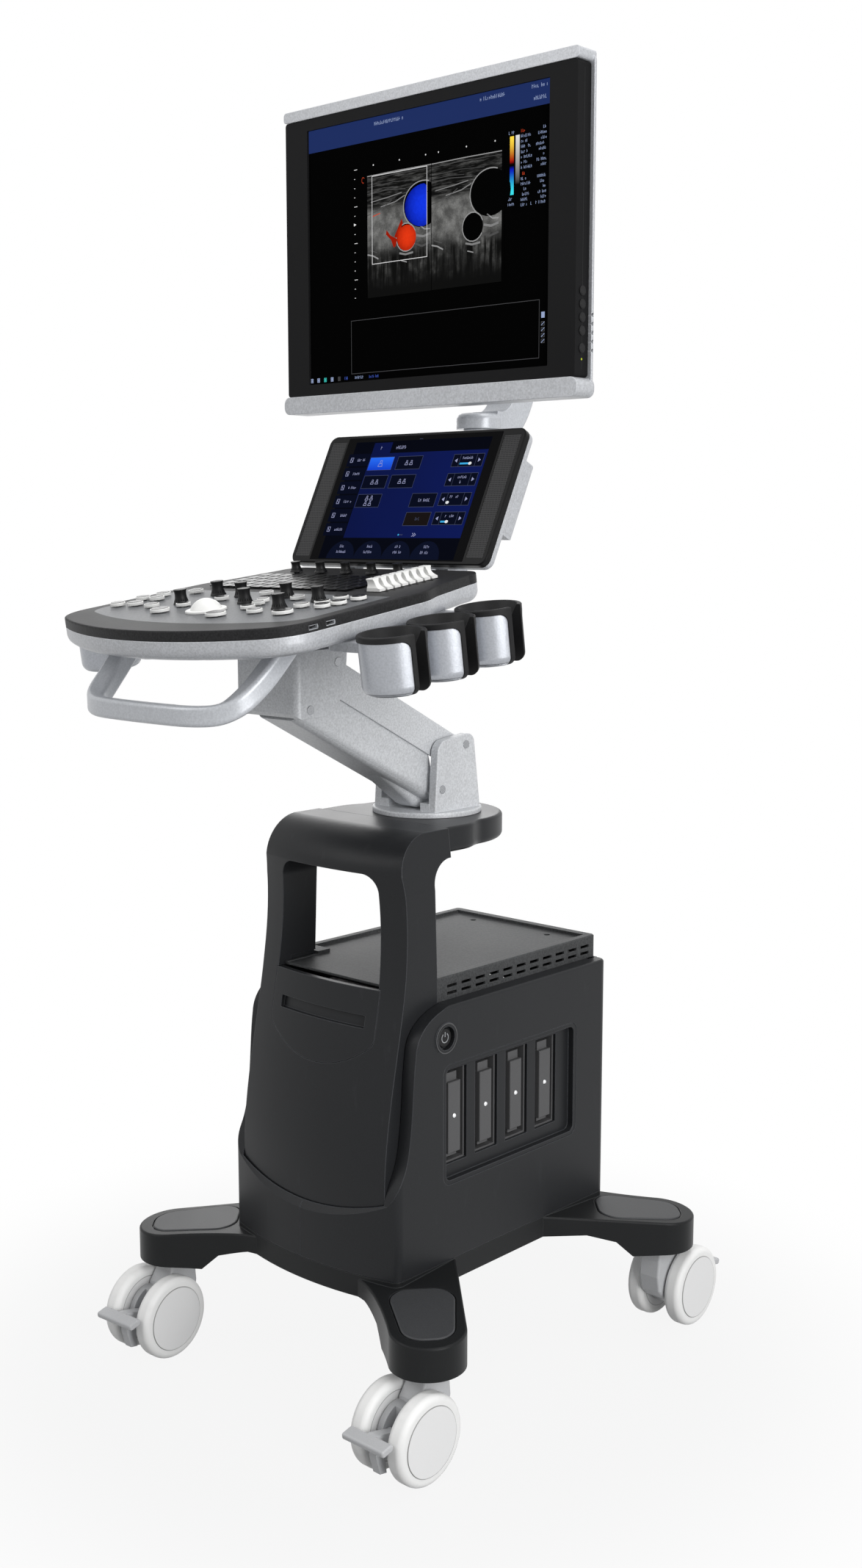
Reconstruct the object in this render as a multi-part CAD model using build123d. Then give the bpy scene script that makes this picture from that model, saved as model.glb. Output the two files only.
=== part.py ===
from build123d import *
from math import asin, cos, degrees, hypot, radians, sin, tan
import os

os.makedirs("parts", exist_ok=True)

# Machine frame while modelling: X=0 is the centre plane, Y=0 the front face of the main display,
# Z=0 the floor. The operator stands at -Y. Everything is moved by CENTRE_SHIFT in Y when it is
# written, so that the finished part stands with its footprint centred on the origin.
CENTRE_SHIFT = 58.93
GAP = 0.3            # air between pieces that belong to different bodies
RUNNING = 0.05       # radial clearance of a shaft in its bore
SKIN = 3.0           # moulded cover thickness

# Casters
WHEEL_R = 50.0
WHEEL_W = 22.0
WHEEL_INNER = 16.0       # inner face of each wheel from the caster's centre plane
HUB_R = 38.5
TRAIL = 35.0
STEM_R = 5.0
FRONT_STEM = (213.5, -221.5)
REAR_STEM = (211.0, 214.5)
LEFT_TURN = 4.0          # how far each front caster has swung from straight
RIGHT_TURN = 0.5
REAR_TURN = 3.0
PEDAL_X = TRAIL + 21.0
PEDAL_Z = 52.0

# Base
LEG_R = 43.0
LEG_END_Z = 112.0
LEG_END_TOP = 150.0
LEG_ROOT_Z = 141.0
LEG_SLOPE = 4.9          # degrees the top of a leg climbs towards the body
LEG_FLARE = [(0, 43), (32, 46), (66, 52), (85, 57), (100, 63), (112, 70), (128, 80)]
BASE_TOP = 167.0

# Cart body
BODY_HALF = 136.0
BODY_REAR = 198.0
BODY_FRONT = -208.0
COVER_TOP = 470.0
TRAY_TOP = 498.0
TRAY_HALF = 116.0
TRAY_FLOOR = 494.0

# Column
TUBE_X = 96.0
COWL_HALF = 117.0
COWL_BOW = 14.0
COWL_REAR = -100.0
HEAD_TOP = 667.0
HEAD_BOTTOM = 637.0
HEAD_SEAM = -69.0
WINDOW_HALF = 84.0
TURRET_Y = 10.0
TURRET_R = 66.0

# Lift arm: a parallelogram of two links between the turret and the head bracket
PIVOT_A = (25.0, 750.0)      # upper link at the turret (Y, Z)
PIVOT_B = (-17.0, 700.0)     # lower link at the turret
LINK = 240.0
LINK_RISE = 27.4             # degrees above horizontal
ARM_HALF = 36.5
PIN_R = 5.0
CHEEK_IN = 39.0
CHEEK_OUT = 50.0

# Console, modelled in its own plane: x across, s up the slope, h out of the top face
CONSOLE_TILT = 8.3
CONSOLE_Y = -300.0
CONSOLE_Z = 924.0
CONSOLE_DEPTH = 31.5
RIM_DEPTH = 10.8
SWIVEL_Y = -213.0

# Touch panel
TOUCH_TILT = 26.0
TOUCH_HALF = 156.0
TOUCH_HEIGHT = 169.0
GLASS_HALF = 122.5
TOUCH_HINGE = (-38.0, 946.0)

# Main display
SCREEN_HALF_W = 188.2        # 19 inch, 5:4
SCREEN_LOW = 1181.0
SCREEN_HIGH = 1482.1
BEZEL_HALF = 226.0
BEZEL_LOW = 1167.5
BEZEL_HIGH = 1495.5
SHELL_HALF = 231.0
SHELL_LOW = 1146.0
SHELL_HIGH = 1508.0
DISPLAY_DEPTH = 24.0
POST_Y = 103.0
DISPLAY_TILT_AXIS = (66.0, 1290.0)
DISPLAY_BUTTON_Z = 1196.0

console_place = Location((0, CONSOLE_Y, CONSOLE_Z), (CONSOLE_TILT, 0, 0))
touch_plane = Plane(
    origin=(0, -30, 1041),
    x_dir=(1, 0, 0),
    z_dir=(0, -cos(radians(TOUCH_TILT)), sin(radians(TOUCH_TILT))),
)
touch_place = touch_plane.location
link_d = (-cos(radians(LINK_RISE)), sin(radians(LINK_RISE)))
PIVOT_Q1 = (PIVOT_A[0] + LINK * link_d[0], PIVOT_A[1] + LINK * link_d[1])
PIVOT_Q2 = (PIVOT_B[0] + LINK * link_d[0], PIVOT_B[1] + LINK * link_d[1])


def save(name, shape):
    """Moves a finished piece to the footprint-centred frame and writes it."""
    placed = Pos(0, CENTRE_SHIFT, 0) * shape
    export_step(placed, f"parts/{name}.step")


def block(x0, x1, y0, y1, z0, z1):
    return Pos((x0 + x1) / 2, (y0 + y1) / 2, (z0 + z1) / 2) * Box(x1 - x0, y1 - y0, z1 - z0)


def rod_x(x0, x1, y, z, r):
    return Pos((x0 + x1) / 2, y, z) * Rot(0, 90, 0) * Cylinder(r, x1 - x0)


def rod_z(x, y, z0, z1, r):
    return Pos(x, y, (z0 + z1) / 2) * Cylinder(r, z1 - z0)


def side_prism(points, x0, x1):
    """Extrudes a (Y, Z) outline along X."""
    face = make_face(Polyline(*points, close=True).edges())
    return extrude(Plane.YZ.offset(x0) * face, x1 - x0)


def front_prism(face_xz, y0, y1):
    """Extrudes a face drawn in (X, Z) along Y."""
    return extrude(Plane.XZ.offset(-y1) * face_xz, y1 - y0)


def mirrored(shape):
    return mirror(shape, Plane.YZ)


# ---------------------------------------------------------------- casters

caster_spots = {
    "fl": ((-FRONT_STEM[0], FRONT_STEM[1]), -90 + LEFT_TURN),
    "fr": ((FRONT_STEM[0], FRONT_STEM[1]), -90 + RIGHT_TURN),
    "rl": ((-REAR_STEM[0], REAR_STEM[1]), 90 + REAR_TURN),
    "rr": ((REAR_STEM[0], REAR_STEM[1]), 90 + REAR_TURN),
}


def xz_prism(points, y0, y1):
    """Extrudes an (x, z) outline of a caster along its axle direction."""
    face = make_face(Polyline(*points, close=True).edges())
    return extrude(Plane.XZ.offset(-y1) * face, y1 - y0)


def axle_rod(x, z, y0, y1, r):
    return Pos(x, (y0 + y1) / 2, z) * Rot(90, 0, 0) * Cylinder(r, y1 - y0)


def caster_housing():
    half = 14.4
    drum = axle_rod(TRAIL, WHEEL_R, -half, half, 30)
    web = xz_prism(
        [(-17, 110), (-21, 94), (-23, 74), (-19, 54), (-8, 42), (12, 40), (36, 62), (31, 84), (20, 98), (17, 110)],
        -half, half,
    )
    web = fillet(web.edges().filter_by(Axis.Z, reverse=True).filter_by(Axis.Y, reverse=True), 3)
    collar = rod_z(0, 0, 100, 120, 17.5)
    body = drum + web + collar
    body -= axle_rod(TRAIL, WHEEL_R, -half - 1, half + 1, 6 + RUNNING)
    body -= rod_z(0, 0, 60, 130, STEM_R + RUNNING)
    body -= block(PEDAL_X - 12, PEDAL_X + 20, -6.5, 6.5, 5, 95)
    body -= axle_rod(PEDAL_X, PEDAL_Z, -12.4, 12.4, 3 + RUNNING)
    return body


def caster_wheels():
    axle = axle_rod(TRAIL, WHEEL_R, -WHEEL_INNER - 4, WHEEL_INNER + 4, 6)
    core = axle
    tyres = []
    for side in (-1, 1):
        y0 = min(side * WHEEL_INNER, side * (WHEEL_INNER + WHEEL_W))
        y1 = y0 + WHEEL_W
        disc_y0 = y0 if side > 0 else y0 - 0.8
        core += axle_rod(TRAIL, WHEEL_R, disc_y0, disc_y0 + WHEEL_W + 0.8, HUB_R - 0.1)
        tyre = axle_rod(TRAIL, WHEEL_R, y0, y1, WHEEL_R)
        tyre = fillet(tyre.edges().filter_by(GeomType.CIRCLE), 7)
        tyre -= axle_rod(TRAIL, WHEEL_R, y0 - 1, y1 + 1, HUB_R)
        tyres.append(tyre)
    return Compound(children=[core] + tyres)


def caster_pedal():
    """Brake pedal, drawn about its own pin."""
    arm = xz_prism([(-3, -6), (-3, 6), (28, 14), (33, 14), (33, 4), (20, -6)], -6, 6)
    hub = axle_rod(0, 0, -6, 6, 7.5)
    pin = axle_rod(0, 0, -12, 12, 3)
    blade = xz_prism([(14, -2), (27, 8), (31, 4), (30, -12), (24, -32), (14, -34), (16, -18)], -5, 5)
    bar = Pos(38, 0, 9) * Rot(0, 12, 0) * Box(17, 60, 8)
    bar = fillet(bar.edges().filter_by(Axis.Y), 3.2)
    ends = bar.faces().sort_by(Axis.Y)
    bar = fillet(ends[0].edges() + ends[-1].edges(), 2)
    return Pos(PEDAL_X, 0, PEDAL_Z) * (arm + hub + pin + blade + bar)


def build_casters():
    housing = caster_housing()
    wheels = caster_wheels()
    pedal = caster_pedal()
    for key, (spot, turn) in caster_spots.items():
        place = Location((spot[0], spot[1], 0), (0, 0, turn))
        save(f"caster_housing_{key}", place * housing)
        save(f"caster_wheels_{key}", place * wheels)
        save(f"caster_pedal_{key}", place * pedal)


# ---------------------------------------------------------------- base

def leg_places():
    """Place of every stem with +X inwards along the leg, and the side its root flares to."""
    places = []
    for sx in (-1, 1):
        for stem, target, end in ((FRONT_STEM, (100, -120), 1), (REAR_STEM, (100, 105), -1)):
            dx = (target[0] - stem[0]) * sx
            dy = target[1] - stem[1]
            length = hypot(dx, dy)
            turn = degrees(asin(dy / length))
            if dx < 0:
                turn = 180 - turn
            places.append((Location((sx * stem[0], stem[1], 0), (0, 0, turn)), sx * end))
    return places


def leg_outline(shrink, flare):
    """Plan of a leg: round end, one straight flank and one that widens into the body."""
    r = LEG_R - shrink
    flank = [(x, y - shrink) for x, y in LEG_FLARE]
    edges = [
        ThreePointArc((0, -r), (-r, 0), (0, r)),
        Spline(*flank),
        Line(flank[-1], (160, 40)),
        Line((160, 40), (160, -r - 5)),
        Line((160, -r - 5), (0, -r)),
    ]
    face = make_face(edges)
    return face if flare > 0 else mirror(face, Plane.XZ)


def leg_top(x):
    return LEG_END_TOP + (x + LEG_R) * tan(radians(LEG_SLOPE))


def leg_below(lower):
    """Everything under the sloping top of a leg, lowered by the given amount."""
    return xz_prism([(-60, 60), (-60, leg_top(-60) - lower), (165, leg_top(165) - lower), (165, 60)], -100, 100)


def body_outline(inset):
    """Plan of the cart body: straight sides, bowed front."""
    half = BODY_HALF - inset
    corner = -186.0 + inset
    front = BODY_FRONT + inset
    rear = BODY_REAR - inset
    lines = [
        Line((half, corner), (half, rear)),
        Line((half, rear), (-half, rear)),
        Line((-half, rear), (-half, corner)),
        ThreePointArc((-half, corner), (0, front), (half, corner)),
    ]
    face = make_face(lines)
    return fillet(face.vertices(), 12.0 - min(inset, 6.0))


def leg_body(flare):
    leg = Pos(0, 0, LEG_END_Z) * extrude(leg_outline(0, flare), 70)
    leg &= leg_below(0)
    leg = fillet(leg.faces().sort_by(Axis.Z)[-1].edges(), 2.5)
    ramp = [(40, 90), (40, LEG_END_Z), (61, 131), (98, LEG_ROOT_Z), (200, LEG_ROOT_Z), (200, 90)]
    return leg - xz_prism(ramp, -100, 100)


def pad_outline():
    face = make_face(Polyline((-25, -27), (-25, 27), (80, 39), (80, -39), close=True).edges())
    return fillet(face.vertices(), 24)


def build_base():
    skirt = Pos(0, 0, LEG_ROOT_Z) * extrude(body_outline(0), BASE_TOP - LEG_ROOT_Z)
    cover = skirt
    legs = {flare: leg_body(flare) for flare in (-1, 1)}
    inside = {flare: Pos(0, 0, 90) * extrude(leg_outline(5, flare), 90) & leg_below(5.5) for flare in (-1, 1)}
    for place, flare in leg_places():
        cover += place * legs[flare]
    cover -= Pos(0, 0, 100) * extrude(body_outline(4), BASE_TOP - 4 - 100)
    pads = []
    on_top = Location((0, 0, leg_top(0)), (0, -LEG_SLOPE, 0))
    recess = on_top * Pos(0, 0, -2) * extrude(offset(pad_outline(), 1.6), 10)
    pad = on_top * Pos(0, 0, -2) * extrude(pad_outline(), 3)
    pad = chamfer(pad.faces().sort_by(Axis.Z)[-1].edges(), 1)
    for place, flare in leg_places():
        cover -= place * inside[flare]
        cover -= place * recess
        pads.append(place * pad)
    for side in (-1, 1):
        cover -= block(side * TUBE_X - 9, side * TUBE_X + 9, -140, -111, 150, 175)
    save("base_cover", cover)
    save("leg_pads", Compound(children=pads))


def build_chassis():
    frame = block(-112, 112, -128, 112, 143, 159)
    frame -= block(-74, 74, -92, 82, 140, 165)
    stems = []
    arm = [(0, 124), (0, 144.5), (30, 147), (120, 154.5), (156, 156.5), (156, 143), (72, 143), (50, 124)]
    for place, flare in leg_places():
        frame += place * xz_prism(arm, -24, 24)
        frame += place * rod_z(0, 0, 124, 144.5, 24)
    for place, flare in leg_places():
        frame -= place * rod_z(0, 0, 115, 142, STEM_R)
        stems.append(place * rod_z(0, 0, 66, 141.9, STEM_R))
    for side in (-1, 1):
        tube = block(side * TUBE_X - 8, side * TUBE_X + 8, -139, -112, 150, 643)
        tube -= block(side * TUBE_X - 6, side * TUBE_X + 6, -137, -114, 170, 700)
        frame += block(side * TUBE_X - 8, side * TUBE_X + 8, -139, -100, 145, 159)
        frame += tube
    floor_plate = block(-120, 120, -99, 188, BASE_TOP + 0.2, BASE_TOP + 3.2)
    floor_plate += block(-108, 108, -141, -98, BASE_TOP + 0.2, BASE_TOP + 3.2)
    frame += floor_plate
    head = block(-98, 98, -134, -80, 643, 650)
    head += block(-52, 52, -82, TURRET_Y, 643, 650)
    head += rod_z(0, TURRET_Y, 643, 650, 52)
    head += rod_z(0, TURRET_Y, 649, 672, 18)
    frame += head
    save("chassis_frame", Compound(children=[frame] + stems))


# ---------------------------------------------------------------- column

def cowl_outline(x, inset):
    """Side outline of the column front at a given distance from the centre plane."""
    bow = COWL_BOW * (1 - (x / COWL_HALF) ** 2)
    front = [(-186.5, 228.0), (-158.0, 465.0), (-151.5, 505.0), (-150.5, 622.0)]
    pts = [(y - bow + inset, z) for y, z in front]
    corner_mid = (-137.0 - bow * 0.8 + inset * 0.8, 654.0 - inset * 0.8)
    corner_end = (-110.0 - bow * 0.3 + inset * 0.3, HEAD_TOP - inset)
    rear = COWL_REAR - inset
    over = 20 if inset else 0
    foot = (pts[0][0] + 4, 172.0 - over)
    seam_top = (HEAD_SEAM + over, HEAD_TOP - inset)
    seam_low = (HEAD_SEAM + over, 633.5 + inset)
    curve_in = (-73 - inset, 633.5 + inset)
    curve_mid = (-91 - inset, 625 + inset * 0.7)
    edges = [
        Line((rear, 172.0 - over), foot),
        Line(foot, pts[0]),
        Spline(*pts),
        ThreePointArc(pts[3], corner_mid, corner_end),
        Line(corner_end, seam_top),
        Line(seam_top, seam_low),
        Line(seam_low, curve_in),
        ThreePointArc(curve_in, curve_mid, (rear, 606 + inset)),
        Line((rear, 606 + inset), (rear, 172.0 - over)),
    ]
    return make_face([Plane.YZ.offset(x) * e for e in edges])


def cowl_body(inset):
    half = COWL_HALF + 6
    stations = [-half, -half * 0.55, 0, half * 0.55, half]
    return loft([cowl_outline(x, inset) for x in stations])


def cowl_front_face(inset):
    """Front outline of the column: sides lean in a little towards the head."""
    low = COWL_HALF + 1 - inset
    mid = COWL_HALF - inset
    top = 105.0 - inset
    pts = [
        (-low, 120), (-mid, 500), (-mid + 3, 600), (-top, HEAD_TOP + 10),
        (top, HEAD_TOP + 10), (mid - 3, 600), (mid, 500), (low, 120),
    ]
    return make_face(Polyline(*pts, close=True).edges())


def window_face(grow):
    """Opening between the two legs of the column."""
    top = 621.0 + grow
    wide = WINDOW_HALF + grow
    narrow = 78.0 + grow
    face = make_face(Polyline((-wide, 470), (-narrow, top), (narrow, top), (wide, 470), close=True).edges())
    uppers = face.vertices().sort_by(Axis.Y)[-2:]
    return fillet(uppers, 22 + grow)


def drive_panel_face(shrink):
    half = WINDOW_HALF + 1.5 - shrink
    low = 430.0
    bottom = 397.0 + shrink
    top = 491.0
    edges = [
        Line((-half, top), (half, top)),
        Line((half, top), (half, low)),
        ThreePointArc((half, low), (0, bottom), (-half, low)),
        Line((-half, low), (-half, top)),
    ]
    face = make_face(edges)
    return fillet(face.vertices().sort_by(Axis.Y)[:2], 16)


def build_column():
    outer = cowl_body(0) & front_prism(cowl_front_face(0), -260, 0)
    inner = cowl_body(SKIN) & front_prism(cowl_front_face(SKIN), -260, 0)
    window = front_prism(window_face(0), -260, 0)
    window_wall = front_prism(window_face(SKIN), -260, 0)
    cowl = outer - (inner - window_wall)
    cowl -= window
    rear_opening = block(-COWL_HALF + SKIN + 1, COWL_HALF - SKIN - 1, -112, -90, 150, 489)
    cowl -= rear_opening
    cowl -= front_prism(drive_panel_face(0), -260, -112)
    cowl -= block(-84.9, 84.9, -140, -90, 465, 500)
    cowl -= block(-130, 130, -108, -90, 150, 455)
    save("column_cowl", cowl)

    panel_back = cowl_body(7.0)
    panel = (outer - panel_back) & front_prism(drive_panel_face(0.5), -260, -120)
    panel &= block(-120, 120, -260, -120, 300, 490.5)
    slot_back = cowl_body(5.5)
    slot = front_prism(Pos(0, 453) * RectangleRounded(138, 14, 1.5), -260, -120) - slot_back
    panel -= slot
    save("drive_panel", panel)

    save("head_cover", head_cover())


def head_outline(inset):
    r = 94.0 - inset
    half = 103.5 - inset
    seam = HEAD_SEAM + 0.3
    start = -20.0
    edges = [
        Line((-half, seam), (half, seam)),
        Spline((half, seam), (half - 2, start), (r, 6), tangents=((0, 1), (0, 1))),
        ThreePointArc((r, 6), (0, 6 + r), (-r, 6)),
        Spline((-r, 6), (-half + 2, start), (-half, seam), tangents=((0, -1), (0, -1))),
    ]
    return make_face(edges)


def head_cover():
    cover = Pos(0, 0, HEAD_BOTTOM) * extrude(head_outline(0), HEAD_TOP - HEAD_BOTTOM)
    rim = cover.faces().sort_by(Axis.Z)[-1].edges().sort_by(Axis.Y)[1:]
    cover = fillet(rim, 4)
    under = cover.faces().sort_by(Axis.Z)[0].edges().sort_by(Axis.Y)[1:]
    cover = fillet(under, 7)
    cavity = Pos(0, 0, HEAD_BOTTOM + SKIN) * extrude(head_outline(9), HEAD_TOP - HEAD_BOTTOM - 2 * SKIN)
    cavity += block(-94, 94, HEAD_SEAM - 5, -40, HEAD_BOTTOM + SKIN, HEAD_TOP - SKIN)
    cover -= cavity
    cover -= rod_z(0, TURRET_Y, 655, 680, 56)
    return cover


# ---------------------------------------------------------------- cart covers

def front_edge(y_shift, z_shift):
    """Side view of the edge that frames the column: it slopes up out of the plinth,
    rises beside the column and arches over to the tray."""
    bevel = [(-226, 198.5), (-190, 255)]
    rise = [(-190, 255), (-182.5, 276), (-173, 295), (-166, 322), (-160.5, 373), (-155.5, 425)]
    arch = [(-155.5, 425), (-147, 446), (-128, 461), (-98, COVER_TOP)]
    lines = [bevel, rise, arch]
    return [[(y + y_shift, z + z_shift) for y, z in pts] for pts in lines]


def front_cut(y_shift, z_shift):
    """Everything ahead of the framing edge."""
    bevel, rise, arch = front_edge(y_shift, z_shift)
    top = 520.0
    edges = [
        Line(bevel[0], bevel[1]),
        Spline(*rise),
        Spline(*arch),
        Line(arch[-1], (arch[-1][0], top)),
        Line((arch[-1][0], top), (-240, top)),
        Line((-240, top), (-240, bevel[0][1])),
        Line((-240, bevel[0][1]), bevel[0]),
    ]
    return extrude(Plane.YZ.offset(-150) * make_face(edges), 300)


def column_space(z0, z1):
    """Space the column needs inside the side covers."""
    half = COWL_HALF + 1.6
    edges = [
        Line((half, -189.8), (half, -98)),
        Line((half, -98), (-half, -98)),
        Line((-half, -98), (-half, -189.8)),
        ThreePointArc((-half, -189.8), (0, -202.4), (half, -189.8)),
    ]
    front = Pos(0, 0, z0) * extrude(make_face(edges), z1 - z0)
    return front + block(-112, 112, -99, 200, z0, z1)


def side_cover_shell():
    """Both side covers in one, before they are split at the centre plane."""
    floor = BASE_TOP + 0.4
    solid = Pos(0, 0, floor) * extrude(body_outline(0), COVER_TOP - floor)
    upper = solid.faces().sort_by(Axis.Z)[-1].edges()
    solid = fillet(upper, 3.5)
    hollow = Pos(0, 0, floor - 1) * extrude(body_outline(SKIN), COVER_TOP - 4.5 - floor + 1)
    walls = solid - hollow
    walls -= column_space(230, COVER_TOP + 1)
    frame = (solid & front_cut(4.5, -3)) - column_space(floor - 5, 600)
    return walls + frame - front_cut(0, 0)


PORT_LOW = (-110.0, 258.0)
PORT_HIGH = (136.0, 402.0)
PORT_SLOTS = [(-101.0, -60.0), (-45.0, -5.0), (10.0, 51.0), (66.0, 106.0)]
PORT_SLOT_Z = (279.0, 391.0)
POWER_Y = -106.0
POWER_Z = 434.0


def port_block(grow, x0, x1, radius):
    width = PORT_HIGH[0] - PORT_LOW[0] + 2 * grow
    height = PORT_HIGH[1] - PORT_LOW[1] + 2 * grow
    centre = ((PORT_LOW[0] + PORT_HIGH[0]) / 2, (PORT_LOW[1] + PORT_HIGH[1]) / 2)
    face = Pos(*centre) * RectangleRounded(width, height, radius)
    return extrude(Plane.YZ.offset(x0) * face, x1 - x0)


def build_covers():
    shell = side_cover_shell()
    rear_gap = block(-119.7, 119.7, 180, 210, 150, 480)
    shell -= rear_gap
    right = shell & block(0.2, 200, -260, 260, 100, 600)
    left = shell & block(-200, -0.2, -260, 260, 100, 600)
    right -= port_block(0, 120, 150, 12)
    right += rod_x(126, BODY_HALF + 1.5, POWER_Y, POWER_Z, 18)
    right -= rod_x(130, 150, POWER_Y, POWER_Z, 13.6)
    right -= rod_x(120, 150, POWER_Y, POWER_Z, 11.6)
    save("side_cover_right", right)
    save("side_cover_left", left)

    button = rod_x(129, 134.5, POWER_Y, POWER_Z, 11.2)
    button = fillet(button.edges().sort_by(Axis.X)[-1], 1.5)
    button += rod_x(120, 129.5, POWER_Y, POWER_Z, 5)
    save("power_button", button)

    pan = port_block(-0.3, 123, 135.6, 11.7)
    pan -= port_block(-5, 127, 140, 8)
    for y0, y1 in PORT_SLOTS:
        pan -= block(115, 140, y0, y1, PORT_SLOT_Z[0], PORT_SLOT_Z[1])
    save("port_panel", pan)

    ports = []
    for y0, y1 in PORT_SLOTS:
        mid = (y0 + y1) / 2
        socket = block(96, 122.7, max(y0 - 2, -99), y1 + 2, 276, 394)
        socket -= block(104, 130, y0 + 2, y1 - 2, 281, 389)
        core = block(103, 126.4, mid - 10.5, mid + 10.5, 290, 375)
        core = chamfer(core.faces().sort_by(Axis.X)[-1].edges(), 0.8)
        core += block(103, 121, mid - 9, mid + 9, 285, 385)
        core -= Pos(127, mid, 334) * Sphere(3.6)
        ports.append(socket + core + rod_x(120, 124.4, mid, 334, 1.6))
    save("probe_ports", Compound(children=ports))

    rear = block(-119.3, 119.3, BODY_REAR - SKIN, BODY_REAR, BASE_TOP + 0.4, COVER_TOP - 0.4)
    for row in range(9):
        z = 300 + row * 14
        for side in (-1, 1):
            rear -= block(side * 55 - 38, side * 55 + 38, 180, 210, z, z + 4.5)
    rear -= block(-80, -30, 180, 210, 196, 230)
    inlet = block(-79.5, -30.5, BODY_REAR - 26, BODY_REAR - 1, 196.5, 229.5)
    inlet -= block(-68, -42, BODY_REAR - 16, 210, 203, 223)
    save("rear_cover", Compound(children=[rear, inlet]))


def build_tray():
    tray = block(-TRAY_HALF, TRAY_HALF, COWL_REAR + 0.4, BODY_REAR + 1, COVER_TOP + 0.1, TRAY_TOP)
    tray = fillet(tray.edges().filter_by(Axis.Z).sort_by(Axis.Y)[-2:], 6)
    nose = block(-82.6, 82.6, -150, COWL_REAR + 2, 491.2, TRAY_TOP - 3)
    tray += nose
    tray = chamfer(tray.faces().sort_by(Axis.Z)[-1].edges().sort_by(Axis.Y)[-1], 1.2)
    tray -= block(-106, 106, -80, 187, TRAY_FLOOR, TRAY_TOP + 5)
    tray -= block(-78, 78, -160, -70, TRAY_FLOOR, TRAY_TOP + 5)
    tray -= block(-TRAY_HALF + SKIN, TRAY_HALF - SKIN, COWL_REAR + 4, BODY_REAR - SKIN, 450, TRAY_FLOOR - SKIN)
    for i in range(11):
        y = -82 + i * 25
        for z in (475.5, 484.0):
            tray -= block(-130, 130, y, y + 17, z, z + 3.6)
    for side in (-1, 1):
        tray -= rod_z(side * 62, 168, 480, 510, 4)
    save("top_tray", tray)


def build_electronics():
    """Main board cage, power supply and disc drive as they sit on the chassis floor."""
    floor = BASE_TOP + 3.4
    cage = block(-90, 92, -80, 150, floor, 430)
    cage -= block(-88, 90, -78, 160, floor + 2, 428)
    cage += block(-60, 60, -146, -40, 430, 433)
    boards = []
    for i in range(6):
        z = 220 + i * 34
        boards.append(block(-87.9, 89.9, -70, 148, z, z + 1.6))
    supply = block(-80, 80, -70, 120, floor + 2.2, 205)
    drive = block(-72, 72, -146, -60, 433, 463)
    save("electronics", Compound(children=[cage, supply, drive] + boards))


# ---------------------------------------------------------------- lift arm

def cheek(x0, x1):
    """Side plate of the turret, rounded at its two upper corners."""
    face = make_face(Polyline((-30, 673), (-24, 757), (39, 764), (51, 673), close=True).edges())
    corners = face.vertices().sort_by(Axis.Y)
    face = fillet(corners[2], 16)
    face = fillet(face.vertices().sort_by(Axis.X)[-2], 12)
    return extrude(Plane.YZ.offset(x0) * face, x1 - x0)


def build_turret():
    disc = rod_z(0, TURRET_Y, HEAD_TOP + GAP, 673.5, TURRET_R)
    disc = fillet(disc.edges().sort_by(Axis.Z)[-1], 2)
    boss = rod_z(0, TURRET_Y, 652, HEAD_TOP + 1, 54)
    turret = disc + boss
    for side in (-1, 1):
        x0 = min(side * CHEEK_IN, side * CHEEK_OUT)
        plate = cheek(x0, x0 + CHEEK_OUT - CHEEK_IN)
        outer = plate.faces().sort_by(Axis.X)[-1 if side > 0 else 0]
        turret += fillet(outer.edges(), 1.5)
        foot_x = min(side * 26, side * 40)
        turret += block(foot_x, foot_x + 14, -30, -10, 673, 683)
        turret += block(foot_x, foot_x + 14, 22, 48, 673, 694)
    turret += rod_z(0, TURRET_Y + 6, 673, 688, 26)
    turret -= rod_z(0, TURRET_Y, 640, 672.8, 18 + RUNNING)
    turret -= rod_z(0, TURRET_Y, 640, 652.3, 60)
    turret -= rod_x(-21, 21, PIVOT_B[0], PIVOT_B[1], 26.2) & block(-21, 21, -60, 30, 673.5, 760)
    for y, z in (PIVOT_A, PIVOT_B):
        turret -= rod_x(-60, 60, y, z, PIN_R + RUNNING)
    save("turret", turret)


def arm_place():
    """Frame of the lift arm: x forwards along the link, z up off it, y across."""
    plane = Plane(
        origin=(0, PIVOT_A[0], PIVOT_A[1]),
        x_dir=(0, link_d[0], link_d[1]),
        z_dir=(0, -link_d[1] * -1, -link_d[0]),
    )
    return plane.location


def arm_drop():
    """Offset of the lower pivot line from the upper one, along and across the link."""
    dy = PIVOT_B[0] - PIVOT_A[0]
    dz = PIVOT_B[1] - PIVOT_A[1]
    along = dy * link_d[0] + dz * link_d[1]
    across = dy * link_d[1] - dz * link_d[0]
    return along, across


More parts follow.
